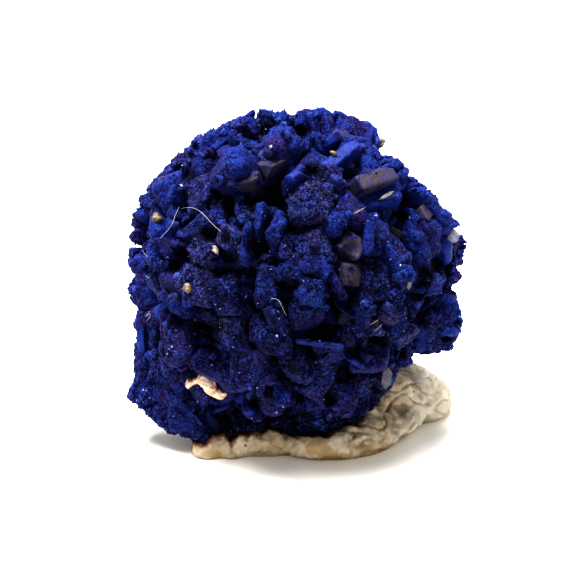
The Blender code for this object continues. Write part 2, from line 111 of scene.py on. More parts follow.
# Crystals on the front: place across and up the display plane, breadth, length, the lean of
# the length clockwise from upright in degrees, how far it stands proud, form and finish.
CRYSTALS = (
    (-5.6, 7.3, 0.81, 1.0, -12, 0.5, "block", "violet"),
    (-5.3, 6.7, 0.64, 1.9, 8, 0.6, "slab", "azure"),
    (-4.7, 6.4, 0.7, 1.6, 25, 0.65, "slab", "azure"),
    (-4.4, 7.2, 0.52, 1.3, 50, 0.75, "slab", "azure"),
    (-3.1, 7.2, 0.52, 1.7, 107, 0.75, "slab", "azure"),
    (-4.3, 7.9, 0.93, 0.6, 75, 0.4, "block", "violet"),
    (-3.5, 8.2, 1.04, 0.8, 70, 0.4, "block", "violet"),
    (-2.8, 8.4, 0.87, 0.8, 65, 0.45, "round", "azure"),
    (-1.9, 8.7, 1.33, 0.8, 98, 1.0, "round", "azure"),
    (-0.8, 8.4, 0.87, 0.7, 80, 0.5, "round", "azure"),
    (-0.8, 7.4, 1.68, 1.5, 12, 0.65, "block", "azure"),
    (0.4, 8.5, 0.7, 1.3, 20, 0.6, "slab", "azure"),
    (1.0, 8.2, 0.58, 1.7, -14, 0.75, "slab", "azure"),
    (1.6, 8.0, 0.52, 2.1, -12, 0.85, "slab", "azure"),
    (1.2, 7.1, 0.29, 1.0, -22, 0.65, "slab", "azure"),
    (0.5, 7.0, 1.1, 0.6, 100, 0.6, "round", "azure"),
    (0.9, 6.3, 1.57, 1.0, 100, 0.8, "round", "azure"),
    (2.6, 8.6, 1.39, 0.6, 92, 0.4, "block", "azure"),
    (2.7, 8.1, 1.28, 0.6, 100, 0.4, "block", "azure"),
    (4.1, 7.8, 1.8, 1.5, 40, 0.5, "block", "azure"),
    (4.0, 6.3, 2.44, 1.4, 68, 0.65, "block", "azure"),
    (4.8, 6.7, 0.81, 0.9, -30, 0.4, "round", "azure"),
    (3.1, 7.1, 0.87, 0.9, 40, 0.7, "round", "azure"),
    (6.1, 5.4, 1.62, 1.5, -42, 0.5, "block", "azure"),
    (6.8, 4.4, 0.99, 0.8, -42, 0.4, "block", "blue"),
    (-6.9, 6.3, 0.99, 0.8, 60, 0.4, "round", "violet"),
    (-6.1, 6.4, 0.7, 0.6, 80, 0.4, "round", "violet"),
    (-6.3, 5.9, 1.91, 0.7, 96, 0.95, "round", "grey"),
    (-7.5, 5.2, 0.7, 1.2, 20, 0.4, "block", "violet"),
    (-8.3, 4.4, 0.87, 1.1, 25, 0.45, "block", "violet"),
    (-7.7, 4.8, 0.52, 0.6, 10, 0.4, "tablet", "bare"),
    (-8.4, 3.5, 1.68, 0.7, 68, 0.55, "slab", "blue"),
    (-5.6, 4.1, 1.91, 1.5, 80, 0.65, "block", "grey"),
    (-5.4, 5.0, 1.16, 0.9, 60, 0.5, "block", "blue"),
    (-7.1, 4.2, 0.7, 0.8, 20, 0.5, "block", "azure"),
    (-3.5, 6.1, 1.8, 1.1, 80, 0.65, "block", "azure"),
    (-3.1, 5.05, 0.9, 1.8, 92, 1.15, "tablet", "bare"),
    (-3.3, 4.4, 1.74, 0.4, 88, 0.7, "slab", "blue"),
    (-1.5, 5.95, 0.9, 1.5, 48, 0.6, "tablet", "bare"),
    (-0.4, 6.3, 1.28, 1.3, 30, 0.6, "round", "azure"),
    (-2.0, 4.6, 0.29, 0.9, 62, 0.8, "tablet", "clean"),
    (0.0, 5.3, 0.7, 1.2, 75, 0.7, "gem", "clean"),
    (-1.7, 6.7, 0.58, 0.6, 0, 0.4, "round", "bare"),
    (0.9, 3.9, 2.44, 2.3, 2, 0.55, "block", "grey"),
    (2.1, 5.1, 1.39, 0.8, 80, 0.6, "block", "violet"),
    (2.4, 2.6, 1.22, 1.6, -10, 0.8, "round", "azure"),
    (0.4, 2.4, 2.09, 1.1, 90, 0.6, "block", "blue"),
    (2.1, 7.2, 0.52, 1.3, 40, 0.75, "tablet", "clean"),
    (2.6, 6.4, 0.7, 2.2, 42, 0.95, "tablet", "clean"),
    (4.6, 5.0, 0.85, 2.3, 63, 1.0, "tablet", "bare"),
    (4.5, 3.95, 1.0, 2.9, 69, 0.85, "tablet", "clean"),
    (3.3, 4.5, 0.52, 1.0, -12, 0.6, "gem", "clean"),
    (2.9, 3.8, 0.58, 0.7, 50, 0.5, "gem", "clean"),
    (4.1, 2.8, 1.51, 0.7, 80, 0.4, "block", "blue"),
    (-8.8, 3.0, 0.93, 0.8, 0, 0.55, "round", "azure"),
    (-8.1, 2.1, 1.51, 0.8, 80, 0.6, "round", "clean"),
    (-9.3, 2.6, 0.75, 0.7, 0, 0.4, "round", "violet"),
    (-9.3, 1.7, 0.64, 0.7, 0, 0.4, "round", "violet"),
    (-8.5, 1.1, 0.99, 0.8, 20, 0.55, "round", "blue"),
    (-9.5, 0.6, 0.99, 1.0, 0, 0.5, "round", "blue"),
    (-7.7, 1.1, 1.51, 1.0, 30, 0.65, "block", "blue"),
    (-7.2, 0.3, 0.87, 0.8, 20, 0.55, "round", "blue"),
    (-8.2, 0.2, 0.81, 0.8, 0, 0.5, "round", "blue"),
    (-4.7, 3.0, 1.91, 1.0, 97, 0.55, "block", "blue"),
    (-5.6, 0.8, 1.74, 1.4, 20, 0.75, "block", "grey"),
    (-4.9, 0.1, 0.87, 0.8, 30, 0.65, "round", "azure"),
    (-6.0, -1.1, 2.2, 2.0, 12, 0.8, "block", "grey"),
    (-6.9, -2.4, 1.22, 1.0, 40, 0.65, "round", "azure"),
    (-8.9, -1.0, 1.33, 1.0, 10, 0.5, "round", "violet"),
    (-9.2, -2.0, 1.04, 0.9, 10, 0.4, "round", "violet"),
    (-8.8, -0.2, 1.1, 0.8, 0, 0.5, "round", "blue"),
    (-8.0, -1.0, 0.64, 1.4, -35, 0.6, "slab", "blue"),
    (-7.5, -2.0, 0.52, 1.2, -35, 0.55, "slab", "blue"),
    (-4.3, -1.9, 1.39, 2.1, -6, 0.65, "block", "blue"),
    (-4.3, -0.9, 0.7, 0.9, 30, 0.75, "gem", "azure"),
    (-5.6, -2.7, 1.51, 0.8, 82, 0.4, "round", "blue"),
    (-2.3, 2.6, 1.97, 0.6, 97, 0.85, "round", "azure"),
    (-1.2, 2.1, 1.28, 0.6, 118, 0.7, "round", "azure"),
    (-3.1, 1.4, 0.64, 2.2, 6, 0.75, "round", "azure"),
    (-0.8, 1.3, 0.58, 1.5, -12, 0.65, "round", "blue"),
    (-2.0, 0.2, 1.04, 0.9, 10, 0.5, "block", "grey"),
    (0.5, 1.1, 2.03, 1.1, 86, 0.45, "block", "blue"),
    (-0.2, -0.1, 1.39, 1.6, 6, 0.65, "gem", "blue"),
    (1.2, 0.2, 1.51, 1.2, 30, 0.65, "gem", "azure"),
    (2.1, -0.7, 0.52, 2.4, -31, 0.75, "slab", "blue"),
    (0.8, -1.5, 1.45, 1.5, 5, 0.8, "block", "azure"),
    (-1.7, -1.2, 1.39, 1.9, 10, 0.6, "block", "blue"),
    (-3.0, -1.3, 0.93, 1.3, 0, 0.55, "block", "blue"),
    (-0.5, -1.6, 0.52, 0.9, 20, 0.5, "gem", "azure"),
    (0.5, -2.5, 0.75, 0.7, 0, 0.5, "round", "azure"),
    (1.9, -3.0, 1.57, 1.1, 60, 0.65, "round", "blue"),
    (-1.5, -2.6, 1.39, 0.9, 60, 0.5, "block", "blue"),
    (3.2, 1.3, 1.25, 1.1, 35, 0.95, "tablet", "bare"),
    (3.25, -0.55, 1.1, 1.35, 5, 1.5, "tablet", "bare"),
    (4.2, 2.0, 1.97, 0.5, 95, 0.75, "slab", "azure"),
    (4.8, -0.5, 2.44, 2.6, 0, 0.4, "block", "deep"),
    (5.7, 0.5, 0.58, 1.9, -20, 0.85, "round", "azure"),
    (5.2, 1.1, 1.39, 0.5, 105, 0.75, "slab", "blue"),
    (6.6, 2.3, 1.57, 0.6, 115, 0.75, "slab", "azure"),
    (7.2, 1.3, 0.93, 2.0, -12, 0.8, "round", "azure"),
    (5.7, 2.0, 0.41, 0.8, -60, 0.55, "tablet", "bare"),
    (6.2, 1.7, 0.35, 0.6, -55, 0.55, "tablet", "bare"),
    (6.4, -0.4, 0.93, 0.8, 10, 0.6, "block", "azure"),
    (4.2, -2.0, 3.02, 0.6, 95, 0.85, "round", "blue"),
    (5.7, -1.8, 0.93, 0.6, 65, 0.6, "block", "blue"),
    (9.0, -0.8, 0.87, 1.2, 5, 0.5, "round", "blue"),
    (8.1, -1.0, 0.75, 1.2, 5, 0.45, "block", "violet"),
    (8.9, -2.7, 1.39, 2.0, 0, 0.65, "round", "azure"),
    (7.9, -2.1, 0.81, 0.9, 0, 0.45, "block", "blue"),
    (7.7, -3.1, 0.87, 1.1, 0, 0.45, "block", "blue"),
    (6.5, -2.5, 1.45, 0.9, 90, 0.4, "block", "deep"),
    (5.7, -3.1, 1.16, 0.9, 80, 0.4, "block", "blue"),
    (9.6, 1.1, 0.52, 1.5, 10, 0.4, "slab", "violet"),
    (8.5, 0.9, 1.62, 1.2, 86, 0.85, "round", "clean"),
    (8.3, 2.3, 1.1, 1.0, 20, 0.9, "tablet", "clean"),
    (8.1, 3.5, 0.8, 2.9, -48, 0.85, "round", "azure"),
    (7.4, 3.1, 1.16, 1.0, -50, 0.6, "tablet", "bare"),
    (6.3, 3.1, 1.04, 0.8, 60, 0.5, "gem", "clean"),
    (-9.15, -4.0, 0.5, 2.8, 4, 1.0, "slab", "clean"),
    (-8.4, -3.9, 1.16, 2.3, 0, 0.4, "block", "deep"),
    (-7.0, -4.5, 1.51, 2.6, 12, 0.8, "block", "violet"),
    (-7.6, -6.4, 2.2, 2.7, -8, 0.55, "block", "blue"),
    (-9.5, -6.2, 1.1, 1.2, 10, 0.4, "round", "violet"),
    (-9.3, -7.5, 1.57, 1.6, 10, 0.5, "round", "blue"),
    (-8.2, -8.3, 1.51, 1.2, 40, 0.45, "block", "blue"),
    (-7.1, -9.2, 1.62, 1.2, -42, 0.5, "block", "blue"),
    (-6.0, -9.6, 1.39, 0.9, 60, 0.5, "block", "blue"),
    (-6.1, -7.9, 1.16, 0.9, 40, 0.55, "gem", "blue"),
    (-4.9, -9.0, 1.74, 1.0, 70, 0.6, "gem", "clean"),
    (-5.3, -5.5, 1.28, 1.2, 10, 0.65, "round", "blue"),
    (-5.6, -7.5, 0.93, 0.6, 102, 0.5, "gem", "azure"),
    (-4.1, -7.9, 0.93, 1.2, 0, 0.4, "block", "violet"),
    (-3.8, -3.7, 1.51, 1.5, 0, 0.45, "block", "grey"),
    (-5.3, -4.4, 1.39, 0.8, 60, 0.4, "block", "blue"),
    (-3.0, -5.9, 1.97, 2.7, 12, 0.8, "round", "blue"),
    (-2.0, -4.2, 0.99, 0.7, 70, 0.45, "block", "blue"),
    (0.1, -3.8, 1.39, 1.0, 62, 0.7, "gem", "azure"),
    (1.3, -6.4, 1.51, 2.9, 20, 0.6, "block", "violet"),
    (-0.8, -5.2, 1.97, 0.7, 76, 0.55, "block", "violet"),
    (-1.0, -7.0, 2.2, 0.6, 93, 0.6, "slab", "azure"),
    (-1.7, -8.0, 1.97, 1.4, 80, 0.65, "round", "violet"),
    (-2.7, -8.5, 1.16, 0.8, 60, 0.5, "round", "clean"),
    (0.3, -8.2, 0.93, 1.0, 0, 0.4, "block", "blue"),
    (2.6, -7.8, 1.51, 2.0, 0, 0.5, "block", "violet"),
    (3.8, -6.9, 1.04, 1.5, 0, 0.4, "block", "deep"),
    (-3.1, -9.3, 1.51, 1.2, 60, 0.3, "block", "deep"),
    (-1.3, -3.2, 1.74, 1.0, 75, 0.5, "block", "blue"),
    (-3.0, -2.7, 1.28, 0.9, 70, 0.45, "block", "blue"),
    (5.1, -5.4, 1.68, 0.9, 80, 0.65, "block", "blue"),
    (3.9, -4.5, 1.74, 0.6, 84, 0.6, "slab", "grey"),
    (6.0, -3.5, 1.51, 1.0, 60, 0.45, "block", "blue"),
    (3.2, -3.2, 1.28, 0.8, 20, 0.4, "tablet", "bare"),
    (4.4, -3.5, 1.28, 0.8, 62, 0.4, "block", "grey"),
    (8.0, -4.6, 2.32, 1.3, 84, 0.6, "round", "clean"),
    (9.0, -4.0, 0.7, 1.7, -10, 0.4, "round", "violet"),
    (1.3, -4.5, 0.28, 2.4, 97, 1.1, "slab", "clean"),
    (3.2, -5.5, 0.3, 1.7, -57, 1.7, "slab", "clean"),
    (-3.2, -9.4, 1.3, 1.1, 80, 0.7, "block", "deep"),
    (-2.3, -9.4, 1.2, 1.0, 70, 0.7, "block", "violet"),
    (-0.9, -9.4, 1.5, 1.2, 85, 0.7, "block", "deep"),
    (0.6, -9.4, 1.5, 1.2, 80, 0.7, "block", "deep"),
    (2.1, -9.3, 1.5, 1.2, 95, 0.7, "block", "deep"),
    (3.4, -8.9, 1.4, 1.3, 100, 0.7, "block", "violet"),
    (4.4, -8.2, 1.2, 1.4, 30, 0.7, "block", "deep"),
    (-9.5, -6.2, 1.0, 1.1, 10, 0.6, "round", "violet"),
    (-9.7, -7.2, 0.9, 1.2, 10, 0.6, "round", "blue"),
    (-9.0, -8.1, 1.2, 1.3, 20, 0.6, "block", "blue"),
    (-8.2, -8.7, 1.2, 1.2, 40, 0.6, "block", "blue"),
    (-6.3, -10.0, 1.0, 1.2, -40, 0.6, "block", "blue"),
    (-9.2, -5.1, 0.9, 1.2, 5, 0.5, "block", "violet"),
    (-9.5, -5.8, 1.0, 1.1, 10, 0.5, "block", "blue"),
    (5.6, -6.1, 1.0, 1.1, 20, 0.6, "block", "violet"),
    (5.1, -7.4, 1.0, 1.4, 10, 0.6, "block", "deep"),
    (4.6, -8.6, 1.0, 1.2, 20, 0.6, "block", "deep"),
)
# How far the nodule's outline lies from its centre, each 7.5 degrees anticlockwise from across.
OUTLINE = (
    9.6, 9.9, 9.6, 9.1, 8.8, 8.5, 8.5, 8.4, 9.2, 9.2, 9.2, 9.2,
    9.0, 9.0, 9.3, 9.2, 9.3, 9.5, 9.4, 9.5, 9.7, 9.9, 9.9, 9.7,
    9.7, 9.8, 9.7, 10.3, 11.2, 12.4, 12.2, 12.2, 11.8, 10.8, 10.4, 10.0,
    9.9, 9.9, 9.8, 9.6, 9.3, 8.9, 8.5, 8.8, 10.0, 10.2, 9.9, 9.3,
)
# Hollows between the crystals: place and half width. Each fades out at the half width times
# HOLLOW_SPREAD, and HOLLOW_SINK is how deep the crystals sink in its middle.
# The crust in each hollow is also painted with shade.
HOLLOW_SPREAD = 1.8
HOLLOW_SINK = 0.9
HOLLOWS = (
    (-2.2, 7.8, 0.64), (0.1, 7.7, 0.29), (1.1, 5.5, 0.41),
    (-6.3, 5.3, 0.35), (-5.8, 6.8, 0.17), (-3.8, 3.8, 0.52),
    (-4.6, 3.9, 0.35), (-3.0, 3.6, 0.46), (-1.5, 4.2, 0.46),
    (-0.7, 4.5, 0.41), (2.4, 1.5, 0.46), (2.9, 1.0, 0.41),
    (2.8, 2.0, 0.29), (6.3, 3.8, 0.23), (6.1, 2.8, 0.23),
    (8.1, -0.1, 0.52), (7.2, -1.0, 0.35), (7.0, -1.6, 0.35),
    (7.4, -0.3, 0.35), (-5.9, 2.2, 0.46), (-5.1, 1.9, 0.52),
    (-4.0, 1.5, 0.41), (-3.9, 0.5, 0.41), (-4.1, -0.5, 0.41),
    (-6.6, 0.6, 0.35), (-7.0, 0.0, 0.35), (-6.2, 1.3, 0.29),
    (-0.8, -0.9, 0.29), (-0.1, -1.1, 0.23), (-0.4, 2.1, 0.23),
    (2.2, -1.9, 0.29), (2.8, -1.9, 0.35), (-2.6, -3.6, 0.41),
    (1.5, -3.9, 0.41), (0.8, -4.1, 0.23), (3.1, -4.9, 0.35),
    (5.7, -4.6, 0.41), (5.0, -4.5, 0.29), (-2.6, -4.6, 0.23),
    (-0.6, -6.3, 0.52), (0.3, -6.3, 0.41), (-6.8, -3.3, 0.41),
    (-5.9, -3.5, 0.41), (-4.9, -3.7, 0.41), (-6.2, -7.2, 0.23),
    (-4.4, -8.3, 0.29), (-2.4, -7.9, 0.23), (4.5, -7.1, 0.29),
    (4.5, -7.9, 0.29), (1.9, -7.7, 0.29), (-8.7, -3.0, 0.29),
    (-1.0, -9.2, 0.58), (0.2, -9.2, 0.58), (-2.4, 1.2, 0.52),
    (8.1, -3.8, 0.23),
)
# How light, violet, greyed, bare and clean each finish is, from 0 to 1.
FINISHES = {
    "azure": (1.0, 0.1, 0.0, 0.0, 0.0),
    "blue": (0.5, 0.45, 0.0, 0.0, 0.0),
    "violet": (0.4, 1.0, 0.1, 0.0, 0.0),
    "grey": (0.4, 0.6, 0.8, 0.0, 0.0),
    "deep": (0.1, 0.4, 0.2, 0.0, 0.0),
    "clean": (0.95, 0.05, 0.0, 0.0, 1.0),
    "bare": (0.5, 0.5, 0.0, 1.0, 0.0),
}
CHARACTERS = ("light", "violet", "grey", "bare", "clean")
# Pale, clouded crystals and slivers that stand free: place, breadth, length, lean, how far they
# stand proud and kind.
PALE_CRYSTALS = (
    (8.95, 1.7, 0.8, 0.9, 10, 0.4, "pale"),
    (5.15, -6.45, 0.68, 1.4, 8, 0.4, "smoky"),
    (3.6, 3.2, 0.08, 0.8, 62, 0.7, "gold"),
    (5.2, 4.1, 0.2, 0.9, 60, 0.5, "gold"),
    (4.4, -3.3, 0.09, 0.75, 62, 0.6, "gold"),
    (4.7, -3.6, 0.08, 0.6, 50, 0.6, "gold"),
    (6.5, -1.1, 0.3, 0.6, 8, 0.4, "gold"),
)
# How thick a pale crystal and a sliver are.
PALE_DEEP = 0.9
SLIVER_DEEP = 0.2
# The host rock's broken face: place, breadth, length and lean of its lumps.
HOST_ROCK = (
    (-5.35, -6.6, 0.68, 0.95, -25),
    (-5.0, -7.05, 0.85, 0.95, -35),
    (-4.6, -7.35, 0.68, 1.0, -60),
    (-4.25, -7.4, 0.4, 0.5, -80),
    (-5.8, -6.65, 0.4, 1.0, 82),
    (-6.25, -6.8, 0.4, 0.6, 20),
)
# The width of the remnant's faces, how deep the lumps are, how far behind the nearest crust
# they are centred, the rest of the remnant's size against its solid, and how far it is sunk.
ROCK_PITCH = 0.05
ROCK_DEEP = 1.7
ROCK_BEHIND = 0.45
ROCK_SHRUNK = 0.65
ROCK_SUNK = 0.45
# Sand grains: place, breadth, length and kind.
SAND_GRAINS = (
    (-6.7, 4.6, 0.28, 0.24, "white"),
    (-8.1, 2.75, 0.5, 0.58, "tan"),
    (-4.7, 0.9, 0.56, 0.32, "white"),
    (-6.3, -1.3, 0.62, 0.46, "tan"),
    (2.1, 6.5, 0.45, 0.25, "tan"),
    (-1.5, 6.9, 0.2, 0.2, "white"),
    (4.8, 7.1, 0.6, 0.5, "white"),
)
# Dust fibres: the places that each runs through.
DUST_FIBRES = (
    ((-6.7, 3.3), (-6.3, 3.4), (-5.8, 3.3), (-5.3, 2.9), (-4.8, 2.3), (-4.4, 2.0)),
    ((-6.8, 3.4), (-7.0, 3.0), (-7.2, 2.4), (-7.5, 2.0), (-7.9, 1.6)),
    ((-8.75, -2.95), (-8.62, -2.8), (-8.5, -2.62)),
    ((-8.9, 0.9), (-8.85, 0.7), (-8.65, 0.55)),
    ((-8.75, -0.55), (-8.65, -0.7), (-8.5, -0.65)),
    ((-1.5, -1.9), (-1.1, -1.85), (-0.9, -2.3), (-0.6, -2.9)),
    ((-8.7, -2.9), (-8.5, -2.7), (-8.45, -2.95), (-8.65, -3.15)),
)


class SpecimenSizes(bpy.types.PropertyGroup):
    druse_grain: bpy.props.FloatProperty(
        name="Druse grain",
        description="Width of the druse's small crystals",
        default=0.0001,
        precision=6,
        unit="LENGTH",
    )
    fibre_width: bpy.props.FloatProperty(
        name="Fibre width",
        description="Diameter of a dust fibre",
        default=0.00002,
        precision=6,
        unit="LENGTH",
    )


def colour_property(name, description, colour):
    return bpy.props.FloatVectorProperty(
        name=name,
        description=description,
        default=colour,
        size=3,
        min=0,
        max=1,
        subtype="COLOR",
    )


class SpecimenColours(bpy.types.PropertyGroup):
    azure: colour_property(
        "Azure", "Azurite where light falls full on it", (0.0168, 0.0355, 0.188)
    )
    indigo: colour_property(
        "Indigo", "Azurite on its weathered, violet faces", (0.034, 0.0165, 0.095)
    )
    teal: colour_property("Teal", "Cooler patches of azurite", (0.012, 0.049, 0.18))
    deep: colour_property("Deep", "Azurite on its darker lumps", (0.006, 0.006, 0.04))
    # Painted shade: the near black painted into crevices, pits, hollows and the foot.
    painted_shade: colour_property(
        "Hollow", "Azurite deep between crystals", (0.001, 0.0009, 0.006)
    )
    grey: colour_property("Grey", "Grey specks in the crust", (0.08, 0.075, 0.13))
    # Painted highlight on ridges and tips; also the colour of random bright grains.
    edge: colour_property("Edge", "Worn edges and tips", (0.072, 0.12, 0.43))
    # Bare faces: partly their own dark colour, partly a painted reflection of light on their
    # gloss.
    bare: colour_property(
        "Bare face", "Smooth crystal faces without a druse", (0.052, 0.044, 0.085)
    )
    # Brown of bare faces: partly their own tint, partly a painted reflection.
    brown: colour_property("Brown face", "Stained bare faces", (0.06, 0.049, 0.05))
    putty: colour_property("Putty", "The mounting putty", (0.46, 0.375, 0.265))
    rock: colour_property("Host rock", "The remnant of host rock", (0.6, 0.4, 0.29))
    floor: colour_property("Floor", "The floor it stands on", (0.64, 0.64, 0.63))


def sizes():
    return bpy.context.scene.specimen_sizes


def colours():
    return bpy.context.scene.specimen_colours


# ---------------------------------------------------------------- materials


def new_material(name, roughness):
    """A material, its tree and its shader."""
    made = bpy.data.materials.new(name)
    made.use_nodes = True
    tree = made.node_tree
    shader = tree.nodes["Principled BSDF"]
    shader.inputs["Roughness"].default_value = roughness
    return made, tree, shader


def add_node(tree, kind, **values):
    """A node, with its properties and, by name with spaces as underscores, its inputs set."""
    made = tree.nodes.new(kind)
    for name, value in values.items():
        if hasattr(made, name):
            setattr(made, name, value)
        else:
            made.inputs[name.replace("_", " ")].default_value = value
    return made


def place(tree):
    """The Object coordinate, in metres."""
    return add_node(tree, "ShaderNodeTexCoord").outputs["Object"]


def noise_value(tree, scale, detail=3.0, roughness=0.6):
    """Soft noise from 0 to 1, of this many swells to the metre."""
    made = add_node(
        tree, "ShaderNodeTexNoise", Scale=scale, Detail=detail, Roughness=roughness
    )
    tree.links.new(place(tree), made.inputs["Vector"])
    return made.outputs["Fac"]


def cell_value(tree, scale, output="Distance"):
    """A value of square cells, of this many to the metre."""
    made = add_node(tree, "ShaderNodeTexVoronoi", distance="CHEBYCHEV", Scale=scale)
    tree.links.new(place(tree), made.inputs["Vector"])
    return made.outputs[output]


def band(tree, value, low, high, from_value=0.0, to_value=1.0):
    """The value mapped smoothly from low..high to from_value..to_value."""
    made = add_node(tree, "ShaderNodeMapRange", interpolation_type="SMOOTHSTEP")
    tree.links.new(value, made.inputs["Value"])
    made.inputs["From Min"].default_value = low
    made.inputs["From Max"].default_value = high
    made.inputs["To Min"].default_value = from_value
    made.inputs["To Max"].default_value = to_value
    return made.outputs["Result"]


def mixed(tree, factor, first, second):
    """Two colours mixed; each is an output, or a colour."""
    made = add_node(tree, "ShaderNodeMix", data_type="RGBA")
    for index, value in ((0, factor), (6, first), (7, second)):
        socket = made.inputs[index]
        if hasattr(value, "node"):
            tree.links.new(value, socket)
        elif index == 0:
            socket.default_value = value
        else:
            socket.default_value = (*value, 1)
    return made.outputs[2]


def maths(tree, operation, first, second):
    made = add_node(tree, "ShaderNodeMath", operation=operation)
    for socket, value in zip(made.inputs, (first, second)):
        if hasattr(value, "node"):
            tree.links.new(value, socket)
        else:
            socket.default_value = value
    return made.outputs[0]


def bump(tree, shader, height, distance, strength=1.0):
    made = add_node(tree, "ShaderNodeBump", Strength=strength, Distance=distance)
    tree.links.new(height, made.inputs["Height"])
    tree.links.new(made.outputs["Normal"], shader.inputs["Normal"])


def attribute(tree, name):
    made = add_node(tree, "ShaderNodeAttribute", attribute_name=name)
    return made.outputs["Fac"]


# The crust's sugary grain: cells to the metre.
SUGAR_CELLS = 9500
FINE_CELLS = 15000


def azurite_body(tree):
    """Azurite's colour: blue to violet or teal, greyed in places, painted shade near black in
    hollows.
    """
    tint = colours()
    drift = band(tree, noise_value(tree, 700), 0.3, 0.7, -0.25, 0.25)
    patch = band(tree, noise_value(tree, 2600), 0.36, 0.64, -0.35, 0.35)
    light = maths(tree, "ADD", attribute(tree, "light"), maths(tree, "ADD", drift, patch))
    body = mixed(tree, light, tint.deep, tint.azure)
    shade = band(tree, noise_value(tree, 1500), 0.38, 0.62, 0.15, 1.2)
    violet = maths(tree, "MULTIPLY", attribute(tree, "violet"), shade)
    body = mixed(tree, violet, body, tint.indigo)
    cool = band(tree, noise_value(tree, 520, 4, 0.65), 0.53, 0.66, 0.0, 0.5)
    body = mixed(tree, cool, body, tint.teal)
    speckle = band(tree, noise_value(tree, 4200, 2, 0.6), 0.46, 0.6)
    grey = maths(tree, "MULTIPLY", attribute(tree, "grey"), speckle)
    body = mixed(tree, grey, body, tint.grey)
    # Painted shade: near black where crusted marks crevices, hollows and the foot.
    depth = band(tree, attribute(tree, "painted_shade"), 0.0, 0.3)
    return mixed(tree, depth, body, tint.painted_shade)


def azurite_crust():
    """The crust: fine sugary grain on the druse, satin on clean and bare faces."""
    made, tree, shader = new_material("azurite_crust", 0.62)
    tint = colours()
    body = azurite_body(tree)
    rough = attribute(tree, "druse")
    # Bare faces: grey and brown, partly own colour, partly a painted reflection of light.
    stain_and_contact_shadow = band(tree, noise_value(tree, 1500, 4, 0.65), 0.42, 0.6)
    bare = mixed(tree, stain_and_contact_shadow, tint.bare, tint.brown)
    patches = band(tree, noise_value(tree, 1300, 5, 0.7), 0.38, 0.5)
    body = mixed(tree, maths(tree, "MULTIPLY", attribute(tree, "bare"), patches), body, bare)
    tone = band(tree, cell_value(tree, SUGAR_CELLS, "Color"), 0.28, 0.72)
    # Random grains are darkened toward the painted-shade colour, as their own tone.
    dull = maths(tree, "MULTIPLY", band(tree, tone, 0.0, 0.45, 0.45, 0.0), rough)
    body = mixed(tree, dull, body, tint.painted_shade)
    spread = band(tree, noise_value(tree, 900), 0.4, 0.6, 0.3, 1.0)
    sugar = maths(tree, "MULTIPLY", rough, spread)
    bright = maths(tree, "MULTIPLY", band(tree, tone, 0.7, 1.0, 0.0, 0.45), sugar)
    body = mixed(tree, bright, body, tint.edge)
    # Painted shade in pits: the same noise lowers the bump there.
    pit_shade = band(tree, noise_value(tree, 5200), 0.36, 0.46, 0.5, 0.0)
    body = mixed(tree, maths(tree, "MULTIPLY", pit_shade, rough), body, tint.painted_shade)
    # Painted highlight on ridges and edges.
    painted_highlight = band(tree, attribute(tree, "painted_highlight"), 0.2, 0.75)
    body = mixed(tree, maths(tree, "MULTIPLY", painted_highlight, 0.6), body, tint.edge)
    tree.links.new(body, shader.inputs["Base Color"])
    gloss = band(tree, rough, 0.2, 0.9, 0.42, 0.7)
    tree.links.new(gloss, shader.inputs["Roughness"])
    shader.inputs["Specular IOR Level"].default_value = 0.15
    shader.inputs["Sheen Weight"].default_value = 0.1
    shader.inputs["Sheen Roughness"].default_value = 0.4
    shader.inputs["Sheen Tint"].default_value = (0.42, 0.38, 1.0, 1)
    grain = maths(tree, "MULTIPLY", cell_value(tree, SUGAR_CELLS), -1.1)
    fine = maths(tree, "MULTIPLY", cell_value(tree, FINE_CELLS), -0.4)
    swell = maths(tree, "ADD", maths(tree, "ADD", grain, fine), noise_value(tree, 5200))
    height = maths(tree, "MULTIPLY", swell, band(tree, rough, 0.0, 1.0, 0.15, 1.0))
    bump(tree, shader, height, 0.0001, 1.0)
    return made


def azurite_druse():
    """The druse's small crystals: each has a tone of its own; a few are glossy, with a painted
    glint.
    """
    made, tree, shader = new_material("azurite_druse", 0.4)
    tone = attribute(tree, "tone")
    body = azurite_body(tree)
    # Random darker grains take the painted-shade colour as their own tone.
    body = mixed(tree, band(tree, tone, 0.0, 0.6, 0.6, 0.0), body, colours().painted_shade)
    # Painted glint: grains of the highest tone are painted pale; they are made glossy too.
    body = mixed(tree, band(tree, tone, 0.93, 0.99, 0.0, 0.6), body, (0.4, 0.42, 0.7))
    tree.links.new(body, shader.inputs["Base Color"])
    tree.links.new(band(tree, tone, 0.85, 1.0, 0.7, 0.15), shader.inputs["Roughness"])
    shader.inputs["Specular IOR Level"].default_value = 0.2
    return made


def pale_crystal(first, second):
    """A pale crystal of two tones, clouded."""
    made, tree, shader = new_material("pale_crystal", 0.25)
    cloud = noise_value(tree, 2200)
    body = mixed(tree, band(tree, cloud, 0.35, 0.65), first, second)
    tree.links.new(body, shader.inputs["Base Color"])
    bump(tree, shader, noise_value(tree, 5000), 0.00003, 0.5)
    return made


def sand(name, first, second):
    """A grain's two tones, clouded, with a worn surface."""
    made, tree, shader = new_material(name, 0.4)
    cloud = noise_value(tree, 4200)
    body = mixed(tree, band(tree, cloud, 0.35, 0.65), first, second)
    tree.links.new(body, shader.inputs["Base Color"])
    bump(tree, shader, noise_value(tree, 9000), 0.00003, 0.6)
    return made


def host_rock():
    """Salmon and cream rock, stained at its edges."""
    made, tree, shader = new_material("host_rock", 0.7)
    cloud = band(tree, noise_value(tree, 1700, 4, 0.65), 0.38, 0.62)
    body = mixed(tree, cloud, colours().rock, (0.68, 0.54, 0.43))
    stain_and_contact_shadow = band(tree, cell_value(tree, 2300), 0.45, 0.8)
    body = mixed(tree, maths(tree, "MULTIPLY", stain_and_contact_shadow, 0.4), body, (0.35, 0.2, 0.14))
    tree.links.new(body, shader.inputs["Base Color"])
    bump(tree, shader, noise_value(tree, 5200, 4, 0.7), 0.00008, 0.8)
    return made


